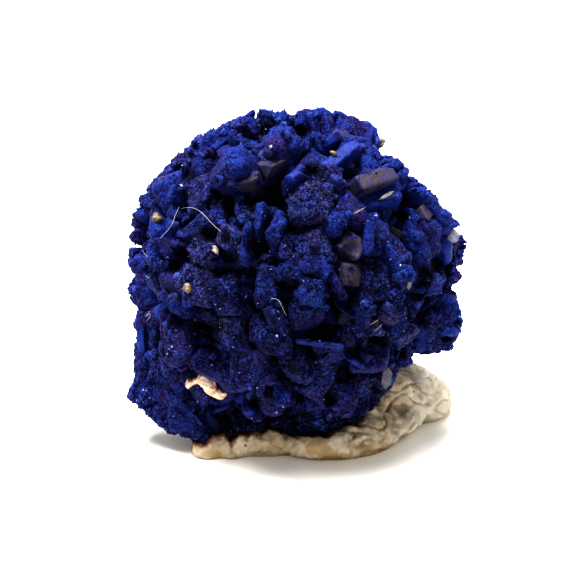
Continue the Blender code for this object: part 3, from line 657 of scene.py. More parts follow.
def putty_material():
    """Off-white kneaded putty: tan patches, grey smears, dark specks, painted shade in its
    creases.
    """
    made, tree, shader = new_material("putty", 0.55)
    tint = colours()
    smear = band(tree, noise_value(tree, 420, 5, 0.65), 0.42, 0.62)
    body = mixed(tree, smear, tint.putty, (0.58, 0.51, 0.4))
    tan = band(tree, noise_value(tree, 560, 4, 0.6), 0.53, 0.66)
    body = mixed(tree, maths(tree, "MULTIPLY", tan, 0.7), body, (0.36, 0.24, 0.11))
    dull = band(tree, noise_value(tree, 1500, 4, 0.7), 0.5, 0.68)
    body = mixed(tree, maths(tree, "MULTIPLY", dull, 0.5), body, (0.28, 0.23, 0.17))
    # Painted shade in the putty's creases.
    crease_shade = band(tree, attribute(tree, "painted_shade"), 0.0, 0.1)
    body = mixed(tree, maths(tree, "MULTIPLY", crease_shade, 0.8), body, (0.22, 0.14, 0.07))
    # Painted contact shadow: dark brown, then near black, close to the nodule.
    ragged = band(tree, noise_value(tree, 900, 4, 0.7), 0.3, 0.7, -0.3, 0.3)
    near = maths(tree, "ADD", attribute(tree, "stain_and_contact_shadow"), ragged)
    body = mixed(tree, band(tree, near, 0.25, 0.8), body, (0.13, 0.055, 0.03))
    body = mixed(tree, band(tree, near, 0.65, 1.0), body, (0.02, 0.01, 0.012))
    specks = band(tree, cell_value(tree, 900), 0.035, 0.06, 1.0, 0.0)
    body = mixed(tree, specks, body, (0.07, 0.05, 0.06))
    # Painted light: the right lobe is painted paler, as where light falls on it.
    split = add_node(tree, "ShaderNodeSeparateXYZ")
    tree.links.new(place(tree), split.inputs[0])
    pale = band(tree, split.outputs["X"], 0.005, 0.0085, 0.0, 0.45)
    body = mixed(tree, pale, body, (0.8, 0.77, 0.66))
    tree.links.new(body, shader.inputs["Base Color"])
    shader.inputs["Specular IOR Level"].default_value = 0.3
    bump(tree, shader, noise_value(tree, 3200, 5, 0.7), 0.00014, 0.7)
    return made


def fibre_material():
    """Pale lint."""
    made, _, shader = new_material("dust_fibre", 0.4)
    shader.inputs["Base Color"].default_value = (0.5, 0.47, 0.42, 1)
    return made


def floor_material():
    """White; paler and faintly cream round the specimen, painted light that lifts its shadow."""
    made, tree, shader = new_material("floor", 0.8)
    away = add_node(tree, "ShaderNodeVectorMath", operation="LENGTH")
    tree.links.new(place(tree), away.inputs[0])
    # Painted light: paler near the specimen, to lift its shadow.
    fade = band(tree, away.outputs["Value"], 0.012, 0.026)
    body = mixed(tree, fade, (0.92, 0.89, 0.82), colours().floor)
    tree.links.new(body, shader.inputs["Base Color"])
    shader.inputs["Specular IOR Level"].default_value = 0.1
    return made


# ---------------------------------------------------------------- shapes


def on_display(across, up, out=0.0):
    return NODULE_CENTRE + RIGHT * across + UP * up + OUT * out


def sight(across, up):
    """The way from the eye to a place on the display plane."""
    return (on_display(across, up) - EYE).normalized()


def seat_on(shell, across, up):
    """Where the line of sight through a place meets the shell; past its outline, the line's
    nearest point to it."""
    point, normal, _, _ = shell.ray_cast(EYE, sight(across, up))
    if point is not None:
        return point, normal
    near, normal, _, _ = shell.find_nearest(on_display(across, up))
    way = sight(across, up)
    return EYE + way * (near - EYE).dot(way), normal


def laid(outward, lean, centre):
    """The matrix that lays Z outwards and Y along a length that leans clockwise from upright."""
    way = math.radians(lean)
    along = RIGHT * math.sin(way) + UP * math.cos(way)
    across = along.cross(outward).normalized()
    along = outward.cross(across).normalized()
    turn = Matrix((across, along, outward)).transposed().to_4x4()
    return Matrix.Translation(centre) @ turn


def swell_way(point):
    """The way out of the nodule at a point, taken as if it were smooth."""
    off = point - NODULE_CENTRE
    return Vector([part / half**2 for part, half in zip(off, NODULE_HALVES)]).normalized()


def mesh_from(bm):
    """A new mesh with bm's shape; bm is freed."""
    mesh = bpy.data.meshes.new("work")
    bm.to_mesh(mesh)
    bm.free()
    return mesh


def points_of(mesh):
    co = np.empty(len(mesh.vertices) * 3)
    mesh.vertices.foreach_get("co", co)
    return co.reshape(-1, 3)


def normals_of(mesh):
    normals = np.empty(len(mesh.vertices) * 3)
    mesh.vertex_normals.foreach_get("vector", normals)
    return normals.reshape(-1, 3)


def set_points(mesh, co):
    mesh.vertices.foreach_set("co", co.ravel())
    mesh.update()


# For each form: how square it is, how many corners are cut off flat, and how near the middle
# they are cut.
FORMS = {
    "block": (9.0, 3, 1.12),
    "slab": (8.0, 2, 1.15),
    "gem": (14.0, 6, 0.92),
    "round": (3.6, 2, 0.98),
    "tablet": (18.0, 1, 1.1),
}
# A crystal's rows of faces crowd to its top by this power, because its foot is buried.
FOOT_SPREAD = 0.6
MOST_TAPER = 0.22
MOST_LEAN = 0.12
MOST_SLOPE = 0.18


def crystal(form, size, step, chance):
    """A closed crystal round the origin, its faces about a step wide and its foot one face."""
    square, flats, near = FORMS[form]
    bm = bmesh.new()
    bmesh.ops.create_cube(bm, size=2)
    for axis, width in enumerate((size[0], size[1], size[2] * FOOT_SPREAD)):
        edges = [
            edge for edge in bm.edges if abs((edge.verts[0].co - edge.verts[1].co)[axis]) > 1
        ]
        cuts = max(1, round(width / step) - 1)
        bmesh.ops.subdivide_edges(bm, edges=edges, cuts=cuts, use_grid_fill=True)
    bm.normal_update()
    foot = [face for face in bm.faces if face.normal.z < -0.9]
    bmesh.ops.dissolve_faces(bm, faces=foot, use_verts=False)
    mesh = mesh_from(bm)
    co = points_of(mesh)
    co[:, 2] = 2 * ((co[:, 2] + 1) / 2) ** FOOT_SPREAD - 1
    co /= (np.abs(co) ** square).sum(1)[:, None] ** (1 / square)
    rise = (co[:, 2] + 1) / 2
    co[:, 0] *= 1 - chance.uniform(0, MOST_TAPER) * rise
    co[:, 1] *= 1 - chance.uniform(0, MOST_TAPER) * rise
    co[:, 0] += chance.uniform(-MOST_LEAN, MOST_LEAN) * rise
    slope = chance.uniform(-MOST_SLOPE, MOST_SLOPE) * co[:, 0]
    slope += chance.uniform(-MOST_SLOPE, MOST_SLOPE) * co[:, 1]
    co[:, 2] += slope * rise
    for _ in range(flats):
        way = np.array([chance.choice((-1, 1)) * chance.uniform(0.25, 1) for _ in range(3)])
        way[2] = abs(way[2])
        way /= np.linalg.norm(way)
        over = (co @ way - near * chance.uniform(0.95, 1.2)).clip(0)
        co -= over[:, None] * way
    set_points(mesh, co * np.array(size) / 2)
    return mesh


class Growth:
    """Crystals gathered into one mesh, with the characters of each."""

    def __init__(self):
        self.body = bmesh.new()
        self.counts = []
        self.marks = []

    def add(self, mesh, finish):
        self.body.from_mesh(mesh)
        self.counts.append(len(mesh.vertices))
        self.marks.append(FINISHES[finish])
        bpy.data.meshes.remove(mesh)

    def gathered(self):
        values = np.repeat(np.array(self.marks), self.counts, axis=0)
        return mesh_from(self.body), values


def millimetre_copy(node):
    """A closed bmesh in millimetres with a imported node's shape."""
    bm = bmesh.new()
    bm.from_mesh(frame["nodes"][node].data)
    bmesh.ops.scale(bm, vec=(1 / MM, 1 / MM, 1 / MM), verts=bm.verts)
    bmesh.ops.remove_doubles(bm, verts=bm.verts, dist=0.001)
    return bm


def settled(obj):
    """A new mesh with obj's modifiers applied; obj is removed."""
    graph = bpy.context.evaluated_depsgraph_get()
    mesh = bpy.data.meshes.new_from_object(obj.evaluated_get(graph))
    bpy.data.objects.remove(obj)
    return mesh


def temporary(mesh):
    obj = bpy.data.objects.new("work", mesh)
    bpy.context.scene.collection.objects.link(obj)
    return obj


def skinned(bm, pitch):
    """One even skin over bm's shells, as a bmesh. Pockets inside it are dropped."""
    obj = temporary(mesh_from(bm))
    remesh = obj.modifiers.new("skin", "REMESH")
    remesh.mode = "VOXEL"
    remesh.voxel_size = pitch
    skin = bmesh.new()
    skin.from_mesh(settled(obj))
    drop_pockets(skin)
    return skin


def drop_pockets(bm):
    """Keeps only the largest of bm's separate shells."""
    left = set(bm.faces)
    shells = []
    while left:
        edge_on = [left.pop()]
        shell = []
        while edge_on:
            face = edge_on.pop()
            shell.append(face)
            for edge in face.edges:
                for other in edge.link_faces:
                    if other in left:
                        left.remove(other)
                        edge_on.append(other)
        shells.append(shell)
    shells.sort(key=len)
    spare = [face for shell in shells[:-1] for face in shell]
    bmesh.ops.delete(bm, geom=spare, context="FACES")


def eased(mesh, co, rounds):
    """Numbers kept by point, after this many rounds of taking their neighbours' average."""
    ends = np.empty(len(mesh.edges) * 2, int)
    mesh.edges.foreach_get("vertices", ends)
    first, second = ends[0::2], ends[1::2]
    count = np.bincount(ends, minlength=len(co))[:, None].clip(1)
    for _ in range(rounds):
        total = np.zeros_like(co)
        for axis in range(co.shape[1]):
            total[:, axis] += np.bincount(first, co[second, axis], len(co))
            total[:, axis] += np.bincount(second, co[first, axis], len(co))
        co = total / count
    return co


def keep_number(mesh, name, values):
    """Keeps one number for each point of the mesh under a name."""
    stored = mesh.attributes.new(name, "FLOAT", "POINT")
    stored.data.foreach_set("value", np.ascontiguousarray(values, np.float32))


def finish_piece(name, mesh, finish, slot, *nodes):
    """Makes a piece of a mesh that is in millimetres: sized, dressed and set on its body."""
    mesh.transform(Matrix.Scale(MM, 4))
    mesh.materials.append(finish)
    obj = bpy.data.objects.new(name, mesh)
    mesh.name = name
    bpy.context.scene.collection.objects.link(obj)
    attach(obj, "root")
    if nodes:
        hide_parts(*nodes)


def shaded(mesh, smooth):
    """Shades all of the mesh's faces smooth or flat."""
    mesh.polygons.foreach_set("use_smooth", [smooth] * len(mesh.polygons))
    mesh.update()


def surface_spots(mesh, count, chance):
    """Spots spread by area over a mesh of triangles or quads, each with its normal."""
    areas = np.array([face.area for face in mesh.polygons])
    reach = np.cumsum(areas)
    for _ in range(count):
        index = int(np.searchsorted(reach, chance.uniform(0, reach[-1])))
        face = mesh.polygons[min(index, len(mesh.polygons) - 1)]
        corners = [mesh.vertices[i].co for i in face.vertices]
        a, b = chance.random(), chance.random()
        if a + b > 1:
            a, b = 1 - a, 1 - b
        spot = corners[0] + (corners[1] - corners[0]) * a + (corners[2] - corners[0]) * b
        yield spot, face.normal


# Turns a cell's place into a number that differs from its neighbours'.
CELL_MIX = Vector((12.99, 78.23, 37.72))
CELL_SPREAD = 4375.85


def cell_height(point, scale, shift):
    """A height from -0.5 to 0.5 for the small block that the point lies in, and how near the
    point is to the block's rim, from 0."""
    near, places = noise.voronoi(point * scale + shift, distance_metric="CHEBYCHEV")
    own = math.sin(places[0].dot(CELL_MIX)) * CELL_SPREAD
    return own - math.floor(own) - 0.5, near[1] - near[0]


def crust_relief(point):
    """The crust's relief in millimetres at a point: swells, small blocks and their grain."""
    wide, _ = cell_height(point, 1.9, Vector((3, 1, 4)))
    small, rim = cell_height(point, 4.4, Vector((7, 3, 1)))
    height = 0.1 * noise.noise(point * 0.9) + 0.08 * wide + 0.09 * small
    return height + 0.05 * min(rim, 0.3)


def scattered(mesh, gap, tries, chance, wanted):
    """Spots on the mesh that keep this gap from each other and that wanted lets through."""
    kept = []
    cells = {}
    for point, normal in surface_spots(mesh, tries, chance):
        if not wanted(point, normal):
            continue
        cell = tuple(int(part // gap) for part in point)
        around = [
            other
            for dx in (-1, 0, 1) for dy in (-1, 0, 1) for dz in (-1, 0, 1)
            for other in cells.get((cell[0] + dx, cell[1] + dy, cell[2] + dz), ())
        ]
        if all((point - other).length > gap for other in around):
            cells.setdefault(cell, []).append(point)
            kept.append((point, normal))
    return kept


def seen_from_eye(co):
    """Where points are seen on the display plane: how far from the middle and at what angle."""
    ways = co - np.array(EYE)
    reach = (NODULE_CENTRE - EYE).dot(OUT) / (ways @ np.array(OUT))
    seen = np.array(EYE - NODULE_CENTRE) + ways * reach[:, None]
    across, up = seen @ np.array(RIGHT), seen @ np.array(UP)
    return np.hypot(across, up), np.degrees(np.arctan2(up, across)) % 360


def outline_at(angle):
    """How far the outline lies from the middle at these angles."""
    wanted = np.array(OUTLINE + OUTLINE[:1])
    return np.interp(angle, np.linspace(0, 360, len(wanted)), wanted)


def keep_within(mesh, slack):
    """Moves a whole crystal in until it is seen to stay inside the outline."""
    for _ in range(2):
        co = points_of(mesh)
        far, angle = seen_from_eye(co)
        over = far - outline_at(angle) - slack
        most = int(over.argmax())
        if over[most] <= 0:
            return
        off = Vector(co[most]) - NODULE_CENTRE
        flat = (off - OUT * off.dot(OUT)).normalized()
        mesh.transform(Matrix.Translation(-flat * over[most]))


# How the rim is read and drawn: the degrees between two readings and to each side of one, the
# percentile that counts as the rim, how little the pull reaches inwards, and the slack past the
# outline with the share of what is over it that is drawn in.
RIM_STEP = 5.0
RIM_SLOT = 3.5
RIM_SHARE = 99.6
RIM_POWER = 5
RIM_SLACK = 0.1
RIM_PULL = 0.6


def fit_outline(meshes):
    """Draws the crystals in or out round the rim until they are seen to reach the outline."""
    for _ in range(2):
        seen = [seen_from_eye(points_of(mesh)) for mesh in meshes]
        far, angle = [np.concatenate(part) for part in zip(*seen)]
        slots = np.arange(0, 360, RIM_STEP)
        found = []
        for slot in slots:
            here = np.abs((angle - slot + 180) % 360 - 180) < RIM_SLOT
            found.append(np.percentile(far[here], RIM_SHARE))
        found.append(found[0])
        for mesh in meshes:
            co = points_of(mesh)
            far_here, angle_here = seen_from_eye(co)
            goal = outline_at(angle_here)
            edge = np.interp(angle_here, np.append(slots, 360), found)
            share = (far_here / edge).clip(0, 1) ** RIM_POWER
            grown = (goal / edge - 1) * share
            over = (far_here * (1 + grown) - goal - RIM_SLACK).clip(0)
            grown -= RIM_PULL * over / far_here
            off = co - np.array(NODULE_CENTRE)
            flat = off - np.outer(off @ np.array(OUT), np.array(OUT))
            set_points(mesh, co + flat * grown[:, None])


def in_hollow(point):
    """Whether a point is seen in one of the hollows, and how far in, from 0 to 1."""
    way = point - EYE
    seen = EYE + way * ((NODULE_CENTRE - EYE).dot(OUT) / way.dot(OUT)) - NODULE_CENTRE
    across, up = seen.dot(RIGHT), seen.dot(UP)
    off = min(math.hypot(across - x, up - y) / half for x, y, half in HOLLOWS)
    return max(0.0, 1 - off / HOLLOW_SPREAD)


CRUST = ("azurite_crust", "back_crystals", "front_crystals", "fine_crystals")
# The skin over the solid that the crystals are set on: its faces' width and how many rounds ease
# it. The core that lies under it is eased further and sunk this far.
SKIN_PITCH = 0.25
SKIN_EASE = 5
CORE_EASE = 8
CORE_SUNK = 1.3
# The front's crystals: their size against the table's, their depth past half their narrower
# side, how their height follows from how far they stand proud, and their faces' width.
FRONT_SWELL = 1.12
FRONT_ROOT = 1.5
PROUD_SHARE = 1.2
PROUD_LEVEL = 0.55
FRONT_STEP = 0.118
SMALL_STEP = 0.13
BARE_FINISHES = ("clean", "bare")
# Where a seat lies less than this far out from the display plane, it is near the rim.
RIM_DEPTH = 2


def is_hidden(point, normal):
    """Whether a spot of the nodule faces away from the eye."""
    return normal.dot((EYE - point).normalized()) < 0.12


def is_filled(point, normal):
    """Whether a spot of the nodule lies outside the front's hollows."""
    return normal.dot(OUT) < 0 or not in_hollow(point)


class Nodule:
    """The nodule while its crystals are grown on its core."""

    def __init__(self):
        self.chance = random.Random(5)
        self.mesh = mesh_from(skinned(millimetre_copy("azurite_cluster"), SKIN_PITCH))
        set_points(self.mesh, eased(self.mesh, points_of(self.mesh), SKIN_EASE))
        smooth = bmesh.new()
        smooth.from_mesh(self.mesh)
        self.shell = BVHTree.FromBMesh(smooth)
        smooth.free()
        self.core = Growth()
        self.back = Growth()
        self.front = Growth()
        self.fine = Growth()
        core = self.mesh.copy()
        sunk = eased(core, points_of(core), CORE_EASE) - normals_of(core) * CORE_SUNK
        set_points(core, sunk)
        self.core.add(core, "deep")

    def growths(self):
        """The crystals gathered so far, in the order of CRUST."""
        return self.core, self.back, self.front, self.fine

    def grow(self, growth, point, outward, size, lean, proud, form, finish, step, seen=False):
        """Sets a crystal on the skin; one that has to be seen at its point is shifted there."""
        centre = point + outward * (proud - size[2] / 2)
        if seen:
            way = (point - EYE).normalized()
            shown = centre - outward * (size[2] / 2 * outward.dot(way)) - point
            centre -= shown - way * shown.dot(way)
        matrix = laid(outward, lean, centre)
        mesh = crystal(form, size, step, self.chance)
        mesh.transform(matrix)
        keep_within(mesh, self.chance.uniform(-0.15, 0.05))
        growth.add(mesh, finish)
        return matrix

    def encrust(self, matrix, size, finish):
        """Sets smaller crystals a little way into a crystal's top and sides."""
        chance = self.chance
        for _ in range(round(1.3 * size[0] * size[1] + 1)):
            grain = [chance.uniform(0.28, 0.65) for _ in range(3)]
            spot = Vector([chance.uniform(-0.5, 0.5) * width for width in size])
            spot.z = abs(spot.z)
            axis = chance.choice((0, 1, 2, 2))
            rim = size[axis] / 2 - grain[axis] / 2 + chance.uniform(-0.03, 0.08)
            spot[axis] = rim if axis == 2 else math.copysign(rim, spot[axis])
            turn = Matrix.Rotation(chance.gauss(0, 0.16), 4, "X")
            turn @= Matrix.Rotation(chance.gauss(0, 0.16), 4, "Y")
            turn @= Matrix.Rotation(chance.gauss(0, 0.4), 4, "Z")
            form = chance.choice(("block", "gem", "gem", "round"))
            mesh = crystal(form, grain, SMALL_STEP, chance)
            place = matrix @ Matrix.Translation(spot) @ turn
            mesh.transform(place)
            keep_within(mesh, 0.0)
            if in_hollow(place.translation) > 0.15:
                bpy.data.meshes.remove(mesh)
            else:
                self.fine.add(mesh, finish)

    def grow_front(self):
        """Sets the front's crystals one by one, as the table gives them."""
        chance = self.chance
        for across, up, breadth, length, lean, proud, form, finish in CRYSTALS:
            point, _ = seat_on(self.shell, across, up)
            tilt = RIGHT * chance.uniform(-0.25, 0.25) + UP * chance.uniform(-0.1, 0.3)
            near_rim = (point - on_display(across, up)).dot(OUT) < RIM_DEPTH
            outward = (swell_way(point) + OUT * (1.0 if near_rim else 0.5) + tilt).normalized()
            if form == "slab":
                outward = (swell_way(point) * 0.2 - sight(across, up) + tilt * 0.5).normalized()
            depth = 0.5 * min(breadth, length) + FRONT_ROOT
            size = (breadth * FRONT_SWELL, length * FRONT_SWELL, depth)
            rise = PROUD_SHARE * (proud - PROUD_LEVEL)
            smooth = finish in BARE_FINISHES
            growth = self.fine if smooth else self.front
            matrix = self.grow(
                growth, point, outward, size, lean, rise, form, finish, FRONT_STEP, seen=True
            )
            if not smooth:
                self.encrust(matrix, size, finish)

    def grow_at_random(self, growth, gap, tries, wanted, low, high, rise, step, crusts):
        """Sets crystals low to high wide on the spots that wanted lets through, and smaller ones
        on a share of them."""
        chance = self.chance
        for point, normal in scattered(self.mesh, gap, tries, chance, wanted):
            shift = Vector([chance.uniform(-0.35, 0.35) for _ in range(3)])
            outward = (normal * 0.5 + swell_way(point) + shift).normalized()
            size = [chance.uniform(low, high) for _ in range(3)]
            form = chance.choice(("block", "round", "block", "gem", "slab"))
            if form == "slab":
                size[0] *= 0.5
            lean = chance.uniform(0, 360)
            finish = chance.choice(("azure", "blue", "blue", "violet", "violet", "grey", "deep"))
            proud = rise + chance.uniform(-0.2, 0.2)
            matrix = self.grow(growth, point, outward, size, lean, proud, form, finish, step)
            if crusts and chance.random() < crusts:
                self.encrust(matrix, size, finish)

    def grow_rest(self):
        """Grows the sides, the back and the top, then fills the core."""
        self.grow_at_random(self.back, 1.3, 6000, is_hidden, 1.3, 2.5, 0.05, 0.2, 0.5)
        self.grow_at_random(self.core, 0.8, 16000, is_filled, 0.6, 1.2, -0.6, 0.25, 0.0)


# The front's shaded middle: where it is centred, how far it reaches and how strong it is.
SHADED_MIDDLE = NODULE_CENTRE + OUT * 8 - RIGHT * 0.8 - UP * 1.8
SHADED_REACH = 7.5
SHADED_MOST = 0.6
# How many rounds ease the crust to read its ridges and pits, for painted highlights and shade.
CRUST_EASE = 4
# How far below the nodule's own skin painted shade begins, and how much more for each millimetre.
SHADE_DEPTH_FROM = 0.2
SHADE_DEPTH_SHARE = 0.45
# Painted shade at the foot: darker downwards from this height, over this much of it.
FOOT_SHADE_TOP = 3.7
FOOT_SHADE_FADE = 1.3


def depth_under(shell, co):
    """How far each point lies under a shell, in millimetres; below 0 it stands proud of it."""
    depth = np.zeros(len(co))
    for index, point in enumerate(co):
        near, normal, _, off = shell.find_nearest(Vector(point), 4)
        if near:
            depth[index] = -math.copysign(off, (Vector(point) - near).dot(normal))
    return depth


def crusted(mesh, values, shell):
    """Raises the crust's relief on the crystals, and keeps what the finish needs to know."""
    light, _, _, bare, clean = values.T
    rough = (1.15 - 0.45 * light) * (1 - 0.85 * bare) * (1 - 0.65 * clean)
    co = points_of(mesh)
    dark = np.array([in_hollow(Vector(point)) for point in co])
    front = ((co - np.array(NODULE_CENTRE)) @ np.array(OUT) / 3).clip(0, 1)
    co -= np.outer(HOLLOW_SINK * dark * front, np.array(OUT))
    set_points(mesh, co)
    patches = np.array([noise.noise(Vector(point) * 0.7 + Vector((2, 9, 5))) for point in co])
    rough = (rough * (1 + 0.8 * patches)).clip(0.08, 1.2)
    heights = np.array([crust_relief(Vector(point)) for point in co]) * rough
    set_points(mesh, co + normals_of(mesh) * heights[:, None])
    co = points_of(mesh)
    normals = normals_of(mesh)
    fine = ((co - eased(mesh, co, CRUST_EASE)) * normals).sum(1)
    depth = depth_under(shell, co)
    # Painted shade: darker in fine pits and deeper under the nodule's skin.
    low = (-fine).clip(0) + SHADE_DEPTH_SHARE * (depth - SHADE_DEPTH_FROM).clip(0)
    # Painted shade in the listed hollows, on faces turned to the front.
    low += 0.7 * dark * (depth > 0.12) * (normals @ np.array(OUT) > -0.5)
    # Painted shade at the foot, near the putty.
    foot = ((FOOT_SHADE_TOP - co[:, 2]) / FOOT_SHADE_FADE).clip(0, 1)
    low += 0.32 * foot * ((co[:, 0] + 5.8) / 1.5).clip(0.3, 1)
    # Painted shade over the front's middle.
    off = co - np.array(SHADED_MIDDLE)
    shade = SHADED_MOST * np.exp(-((off**2).sum(1) / SHADED_REACH**2))
    low += 0.16 * shade
    keep_number(mesh, "painted_shade", low)
    # Painted highlight on ridges, held back in the front's shaded middle.
    keep_number(mesh, "painted_highlight", fine.clip(0) / np.percentile(fine, 98) * (1 - 0.8 * shade))
    keep_number(mesh, "druse", rough)
    drift = np.array([noise.noise(Vector(point) * 0.8) for point in co])
    # Painted shade also makes the front's middle less light and less violet.
    shifts = (0.5 * drift - shade, -0.5 * drift - 0.6 * shade, 0, 0, 0)
    for name, own, shift in zip(CHARACTERS, values.T, shifts):
        keep_number(mesh, name, (own + shift).clip(0, 1))


class AZURITE_OT_crust(bpy.types.Operator):
    """Grows the crystals of the nodule over its solid"""

    bl_idname = "azurite.crust"
    bl_label = "Crusted nodule"

    def execute(self, context):
        nodule = Nodule()
        nodule.grow_front()
        nodule.grow_rest()
        finish = azurite_crust()
        gathered = [growth.gathered() for growth in nodule.growths()]
        fit_outline([mesh for mesh, _ in gathered])
        for name, (mesh, values) in zip(CRUST, gathered):
            crusted(mesh, values, nodule.shell)
            shaded(mesh, True)
            nodes = ["azurite_cluster"] if name == "azurite_crust" else []
            finish_piece(name, mesh, finish, "azurite", *nodes)
        return {"FINISHED"}


def druse_forms(finish, width):
    """A collection with the druse's crystal forms: two blocks and two wedges."""
    forms = bpy.data.collections.new("druse_forms")
    bpy.context.scene.collection.children.link(forms)
    chance = random.Random(3)
    for index, sides in enumerate((4, 3, 4, 3)):
        bm = bmesh.new()
        top = chance.uniform(0.45, 0.66)
        depth = chance.uniform(0.9, 1.3)
        bmesh.ops.create_cone(
            bm, cap_ends=True, segments=sides, radius1=0.72, radius2=top, depth=depth
        )
        bmesh.ops.scale(bm, vec=(width * chance.uniform(0.8, 1.2), width, width), verts=bm.verts)
        mesh = mesh_from(bm)
        mesh.materials.append(finish)
        forms.objects.link(bpy.data.objects.new(f"form_{index}", mesh))
    return forms


def druse_tree(forms, density, seed):
    """Geometry nodes that strew the forms over a surface, this many to the square millimetre of
    full druse, and make them real."""
    tree = bpy.data.node_groups.new("druse", "GeometryNodeTree")
    for way in ("INPUT", "OUTPUT"):
        tree.interface.new_socket("Geometry", in_out=way, socket_type="NodeSocketGeometry")
    source = tree.nodes.new("NodeGroupInput")
    result = tree.nodes.new("NodeGroupOutput")
    strew = add_node(tree, "GeometryNodeDistributePointsOnFaces", distribute_method="RANDOM")
    druse = add_node(tree, "GeometryNodeInputNamedAttribute", data_type="FLOAT")
    druse.inputs["Name"].default_value = "druse"
    share = add_node(tree, "ShaderNodeMath", operation="MULTIPLY")
    share.inputs[1].default_value = density
    strew.inputs["Seed"].default_value = seed
    pick = tree.nodes.new("GeometryNodeCollectionInfo")
    pick.inputs["Collection"].default_value = forms
    pick.inputs["Separate Children"].default_value = True
    pick.inputs["Reset Children"].default_value = True
    tilt = add_node(tree, "FunctionNodeRandomValue", data_type="FLOAT_VECTOR")
    tilt.inputs[0].default_value = (-0.6, -0.6, 0)
    tilt.inputs[1].default_value = (0.6, 0.6, math.tau)
    to_turn = tree.nodes.new("FunctionNodeEulerToRotation")
    turn = add_node(tree, "FunctionNodeRotateRotation", rotation_space="LOCAL")
    grow = add_node(tree, "FunctionNodeRandomValue", data_type="FLOAT_VECTOR")
    grow.inputs[0].default_value = (0.6, 0.6, 0.6)
    grow.inputs[1].default_value = (1.35, 1.35, 1.35)
    tone = add_node(tree, "FunctionNodeRandomValue", data_type="FLOAT")
    keep = add_node(tree, "GeometryNodeStoreNamedAttribute", data_type="FLOAT", domain="POINT")
    keep.inputs["Name"].default_value = "tone"
    each = tree.nodes.new("GeometryNodeInstanceOnPoints")
    each.inputs["Pick Instance"].default_value = True
    real = tree.nodes.new("GeometryNodeRealizeInstances")
    join = tree.links.new
    join(source.outputs[0], strew.inputs["Mesh"])
    join(druse.outputs["Attribute"], share.inputs[0])
    join(share.outputs[0], strew.inputs["Density"])
    join(strew.outputs["Points"], keep.inputs["Geometry"])
    join(tone.outputs[1], keep.inputs["Value"])
    join(keep.outputs["Geometry"], each.inputs["Points"])
    join(pick.outputs[0], each.inputs["Instance"])
    join(strew.outputs["Rotation"], turn.inputs["Rotation"])
    join(tilt.outputs[0], to_turn.inputs[0])
    join(to_turn.outputs[0], turn.inputs["Rotate By"])
    join(turn.outputs[0], each.inputs["Rotation"])
    join(grow.outputs[0], each.inputs["Scale"])
    join(each.outputs[0], real.inputs[0])
    join(real.outputs[0], result.inputs[0])
    return tree


def strewn(ground, finish, width, density, seed):
    """A mesh in millimetres of crystals strewn over the ground piece."""
    base = ground.data.copy()
    base.transform(Matrix.Scale(1 / MM, 4))
    obj = temporary(base)
    forms = druse_forms(finish, width)
    strew = obj.modifiers.new("druse", "NODES")
    strew.node_group = druse_tree(forms, density, seed)
    mesh = settled(obj)
    for form in list(forms.objects):
        bpy.data.objects.remove(form)
    bpy.data.collections.remove(forms)
    mesh.materials.clear()
    return mesh


class AZURITE_OT_druse(bpy.types.Operator):
    """Strews the druse's small crystals over the crust"""

    bl_idname = "azurite.druse"
    bl_label = "Druse"

    def execute(self, context):
        finish = azurite_druse()
        width = sizes().druse_grain / MM
        for name, ground, density, seed in (
            ("front_druse", "front_crystals", 9.0, 21),
            ("fine_druse", "fine_crystals", 6.0, 22),
        ):
            mesh = strewn(bpy.data.objects[ground], finish, width, density, seed)
            shaded(mesh, False)
            finish_piece(name, mesh, finish, "azurite")
        return {"FINISHED"}


class AZURITE_OT_pale_crystals(bpy.types.Operator):
    """Sets the pale, clouded crystals and the slivers"""

    bl_idname = "azurite.pale_crystals"
    bl_label = "Pale crystals"

    def execute(self, context):
        shell = ground_shell(*CRUST)
        kinds = (
            ("pale_crystal", "pale", pale_crystal((0.27, 0.26, 0.32), (0.15, 0.14, 0.2))),
            ("smoky_crystal", "smoky", pale_crystal((0.13, 0.125, 0.16), (0.07, 0.065, 0.09))),
            ("gold_slivers", "gold", pale_crystal((0.24, 0.22, 0.18), (0.1, 0.09, 0.075))),
        )
        for name, kind, finish in kinds:
            deep = SLIVER_DEEP if kind == "gold" else PALE_DEEP
            shapes = bmesh.new()
            for across, up, breadth, length, lean, proud, own in PALE_CRYSTALS:
                if own != kind:
                    continue
                point, _ = seat_on(shell, across, up)
                way = sight(across, up)
                outward = (swell_way(point) * 0.3 - way).normalized()
                made = bmesh.ops.create_cone(
                    shapes, cap_ends=True, segments=6, radius1=0.58, radius2=0.46, depth=1
                )["verts"]
                bmesh.ops.scale(shapes, vec=(breadth, length, deep), verts=made)
                matrix = laid(outward, lean, point - way * (proud - deep / 2))
                bmesh.ops.transform(shapes, matrix=matrix, verts=made)
            mesh = mesh_from(shapes)
            shaded(mesh, False)
            finish_piece(name, mesh, finish, "azurite")
        return {"FINISHED"}


def ground_shell(*names):
    """A search tree in millimetres over the named pieces."""
    bm = bmesh.new()
    for name in names:
        bm.from_mesh(bpy.data.objects[name].data)
    bmesh.ops.scale(bm, vec=(1 / MM, 1 / MM, 1 / MM), verts=bm.verts)
    shell = BVHTree.FromBMesh(bm)
    bm.free()
    return shell


